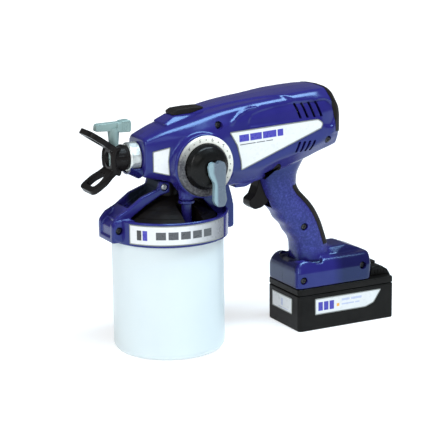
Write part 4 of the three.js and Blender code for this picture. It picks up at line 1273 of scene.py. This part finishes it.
BATTERY_LOW, BATTERY_HIGH = box_mm("battery_case")
BATTERY_TOP = 41.6
BATTERY_WALL = 2.6
RAIL_HALF = 17.5
RAIL_TOP = 47


def pack_outline(inset):
    """The pack from above, with a gentle bulge at its rear."""
    low, high = BATTERY_LOW, BATTERY_HIGH
    front, side, bulge = low.x + inset, -low.y - inset, high.x - inset
    rear = front + (bulge - front) * 0.945
    points = [(front, -side, 4.2), (rear, -side, 5)]
    for k in range(-6, 7):
        part = k / 6
        points.append((rear + (bulge - rear) * (1 - part ** 2) * 0.9 + 0.6, side * 0.84 * part))
    return points + [(rear, side, 5), (front, side, 4.2)]


def battery_case():
    split = BATTERY_HIGH.z
    case = prism("battery_case_shell", pack_outline(0), "XY", 0, split, 7)
    rounded_edges(case, 1.5, 4, 50)
    cut(case, prism("hollow", pack_outline(BATTERY_WALL), "XY", BATTERY_WALL, split + 5, 4))
    feet = prism("foot_line", rectangle(130, -22, 222, 22, 2), "XY", -1, 0.5)
    cut(feet, prism("foot_inner", rectangle(131.5, -20.5, 220.5, 20.5, 1), "XY", -2, 2))
    finish(cut(case, feet), "battery", "battery", "battery_case")


def battery_cover():
    split, top = BATTERY_HIGH.z + 0.35, BATTERY_TOP
    cover = prism("battery_cover_shell", pack_outline(0), "XY", split, top, 7)
    rounded_edges(cover, 1.1, 3, 50)
    rail = block("rail", (132, -RAIL_HALF, top - 1), (204, RAIL_HALF, RAIL_TOP))
    rear = prism("rear", [(207.4, 40.6), (208.8, 50.6, 2), (213, 51.4, 2), (221, 50.6, 4), (227.6, 46.4, 4),
                          (231.6, 40.6)], "XZ", -20.5, 20.5)
    joined(cover, rounded_edges(rail, 0.6, 2), rounded_edges(rear, 1.6, 4, 40))
    ribs = [block("rib", (x, y - 0.6, 43.5), (x + 1.2, y + 0.6, 47.5))
            for y in (-20.6, 20.6) for x in (212 + i * 3.4 for i in range(5))]
    cut(cover, prism("well", rectangle(211.5, -8.5, 222, 8.5, 1.2), "XY", 46.5, 60),
        prism("hollow", pack_outline(BATTERY_WALL), "XY", split - 5, top - BATTERY_WALL, 4), *ribs)
    finish(cover, "battery", "battery", "battery_cover")


def battery_button():
    low, high = box_mm("battery_release_button")
    button = prism("battery_release_key", rectangle(low.x, low.y, high.x, high.y, 1.5), "XY", low.z, high.z)
    rounded_edges(button, 0.8)
    cut(button, *[rod("groove", 0.4, low.y + 2, high.y - 2, "Y", (low.x + 2.4 + 1.7 * i, 0, high.z + 0.1), 10)
                  for i in range(4)])
    finish(button, "rubber", "battery_release_button", "battery_release_button")


def battery_labels():
    low, high = box_mm("battery_front_label")
    bars = [(0.4, 3.6, 19.5, 26.5, PALE_INK), (-9.5, 9.5, 17.2, 17.8, PALE_INK)]
    film = printed("battery_front_print", "Y", "Z", bars)
    for piece in flat_label("battery_front_label", rectangle(low.y, low.z, high.y, high.z, 1), "YZ",
                            BATTERY_LOW.x + 0.15, low.x + 0.3, film):
        placed(piece, "label_film", "battery", "battery_front_label")
    low, high = box_mm("battery_side_label")
    outline = [(low.x, low.z, 1), (196, low.z, 4), (205.4, 18.3, 5), (high.x, high.z, 1), (low.x, high.z, 1)]
    bars = text_bars(143, 27.2, (5, 5, 5), 8.6, 1.2, BLUE_INK) + [(163.4, 166.4, 20.4, 23.4, AMBER_INK)]
    bars += text_bars(169, 27.4, (9, 12), 2.2, 1.5, PALE_INK)
    bars += text_bars(169, 22.6, (14, 5), 1.4, 1.2, PALE_INK)
    film = printed("battery_side_print", "X", "Z", bars)
    for piece in flat_label("battery_side_label", outline, "XZ", BATTERY_LOW.y + 0.15, low.y + 0.3, film):
        twin = copy_of(piece, piece.name + "_left")
        placed(piece, "label_film", "battery", "battery_side_label")
        placed(mirrored(twin), "label_film", "battery")


# ---- screws and the pieces inside

def screws():
    """Round-head screws with a cross recess, each where its CAD node is."""
    for name in sorted(node for node in frame["nodes"] if "screw" in node):
        low, high = box_mm(name)
        middle = (low + high) / 2
        head = (high.x - low.x) / 2
        screw = lathe(name + "_steel", [
            (0, low.y + 0.3), (head - 0.8, low.y + 0.3, 0.6), (head, low.y + 1.1, 0.4), (head, low.y + 2.6),
            (1.7, low.y + 2.6), (1.7, high.y - 1.6), (0.5, high.y), (0, high.y)],
            "Y", (middle.x, 0, middle.z), 40)
        for turn in (0, math.pi / 2):
            slot = block("slot", (middle.x - 1.9, low.y - 1, middle.z - 0.35),
                         (middle.x + 1.9, low.y + 1.6, middle.z + 0.35))
            cut(screw, turned_by(slot, turn + 0.4, "Y", middle))
        finish(screw, "zinc" if name == "arm_screw" else "screw", "body", name)


INSIDE = {
    "steel": ["trigger_pin", "trigger_spring", "tip_seal", "outlet_fitting", "piston_1", "piston_2",
              "piston_3", "wobble_plate", "motor_can", "motor_rotor"],
    "zinc": ["prime_valve", "pump_block", "drive_gear", "gear_plate"],
    "black": ["trigger_switch", "terminal_block"],
    "board": ["control_board"],
    "cell": ["battery_cell_%d" % i for i in range(1, 6)],
}


def inside():
    """The pieces that the shells hide keep their CAD shapes."""
    for look, names in INSIDE.items():
        for name in names:
            coloured(frame["nodes"][name], LOOKS[look][0])


# ---- camera, light and floor

CAMERA = {"azimuth": -27.3, "elevation": 13.4, "roll": -0.7, "distance": 1485.3, "lens": 133.64,
          "target": (49.7, 0, 117.2)}


def direction(azimuth, elevation):
    """Towards a point of the sky, from degrees."""
    a, e = math.radians(azimuth), math.radians(elevation)
    return Vector((math.sin(a) * math.cos(e), -math.cos(a) * math.cos(e), math.sin(e)))


def aimed(name, data, right, up, back, place):
    """A camera or light at a place, with its three axes given."""
    made = linked(name, data)
    matrix = Matrix((right, up, back)).transposed().to_4x4()
    matrix.translation = place
    made.matrix_world = matrix
    return made


def make_camera():
    back = direction(CAMERA["azimuth"], CAMERA["elevation"])
    right = (-back).cross(Vector((0, 0, 1))).normalized()
    up = right.cross(-back)
    c, s = math.cos(math.radians(CAMERA["roll"])), math.sin(math.radians(CAMERA["roll"]))
    data = bpy.data.cameras.new("camera")
    data.lens = CAMERA["lens"]
    data.sensor_width = 36
    data.clip_end = 30
    place = (Vector(CAMERA["target"]) + back * CAMERA["distance"]) * MM
    bpy.context.scene.camera = aimed("camera", data, c * right + s * up, c * up - s * right, back, place)


def area_light(name, azimuth, elevation, distance, size, power, colour=(1, 1, 1), aim=(0.06, 0, 0.13),
               level=(0, 0, 1)):
    """A soft box that faces its aim, in metres, with its second side along a direction."""
    data = bpy.data.lights.new(name, "AREA")
    data.shape = "RECTANGLE"
    data.size, data.size_y = size
    data.energy = power
    data.color = colour
    back = direction(azimuth, elevation)
    up = Vector(level)
    up = (up - back * up.dot(back)).normalized()
    aimed(name, data, up.cross(back), up, back, Vector(aim) + back * distance)


def make_studio():
    scene = bpy.context.scene
    scene.view_settings.view_transform = "Standard"
    scene.world = bpy.data.worlds.new("studio")
    scene.world.use_nodes = True
    background = scene.world.node_tree.nodes["Background"]
    background.inputs["Color"].default_value = (0.95, 0.97, 1.0, 1)
    background.inputs["Strength"].default_value = 0.19
    area_light("left", -68, 30, 1.5, (0.3, 0.9), 8)
    area_light("low", -52, 10, 1.2, (0.14, 0.8), 1.2, aim=(0.10, 0, 0.12))
    area_light("top", 24, 68, 1.4, (0.5, 1.3), 36, (0.72, 0.89, 1.0), (0.08, 0, 0.2), (1, 0, 0))
    area_light("front", -26, 27, 2.2, (1.1, 0.8), 5)
    reach, drop = 8000, -0.2
    floor = mesh_piece("floor", [(x, y, drop) for x, y, _ in rectangle(-reach, -reach, reach, reach)],
                       [(0, 1, 2, 3)])
    white = (0.60, 0.615, 0.63)
    paint = Paint("paper", white, 0.9, specular=0.1)
    x, y = paint.axis("X"), paint.axis("Y")
    distance = paint.math("POWER", paint.math("ADD", paint.times(x, x), paint.times(y, y)), 0.5)
    paint.fill(paint.inputs, {
        "Base Color": paint.blend(paint.noise(3.0, 2.0), white, (0.585, 0.60, 0.615)),
        "Emission Color": (1, 1, 1, 1),
        "Emission Strength": paint.remap(distance, 0.15, 1.4, 0.60, 1.0)})
    floor.data.materials.append(paint.material)


make_camera()
make_studio()
housing_shells()
nose_shroud()
top_insert()
side_label("right")
side_label("left")
front_label()
collar_label()
trigger()
trigger_lock()
dial_ring()
pressure_knob()
prime_lever()
tip_guard()
spray_tip()
guard_nut()
collar_frame()
return_tube()
inlet_housing()
cup()
cup_fittings()
battery_case()
battery_cover()
battery_button()
battery_labels()
screws()
inside()
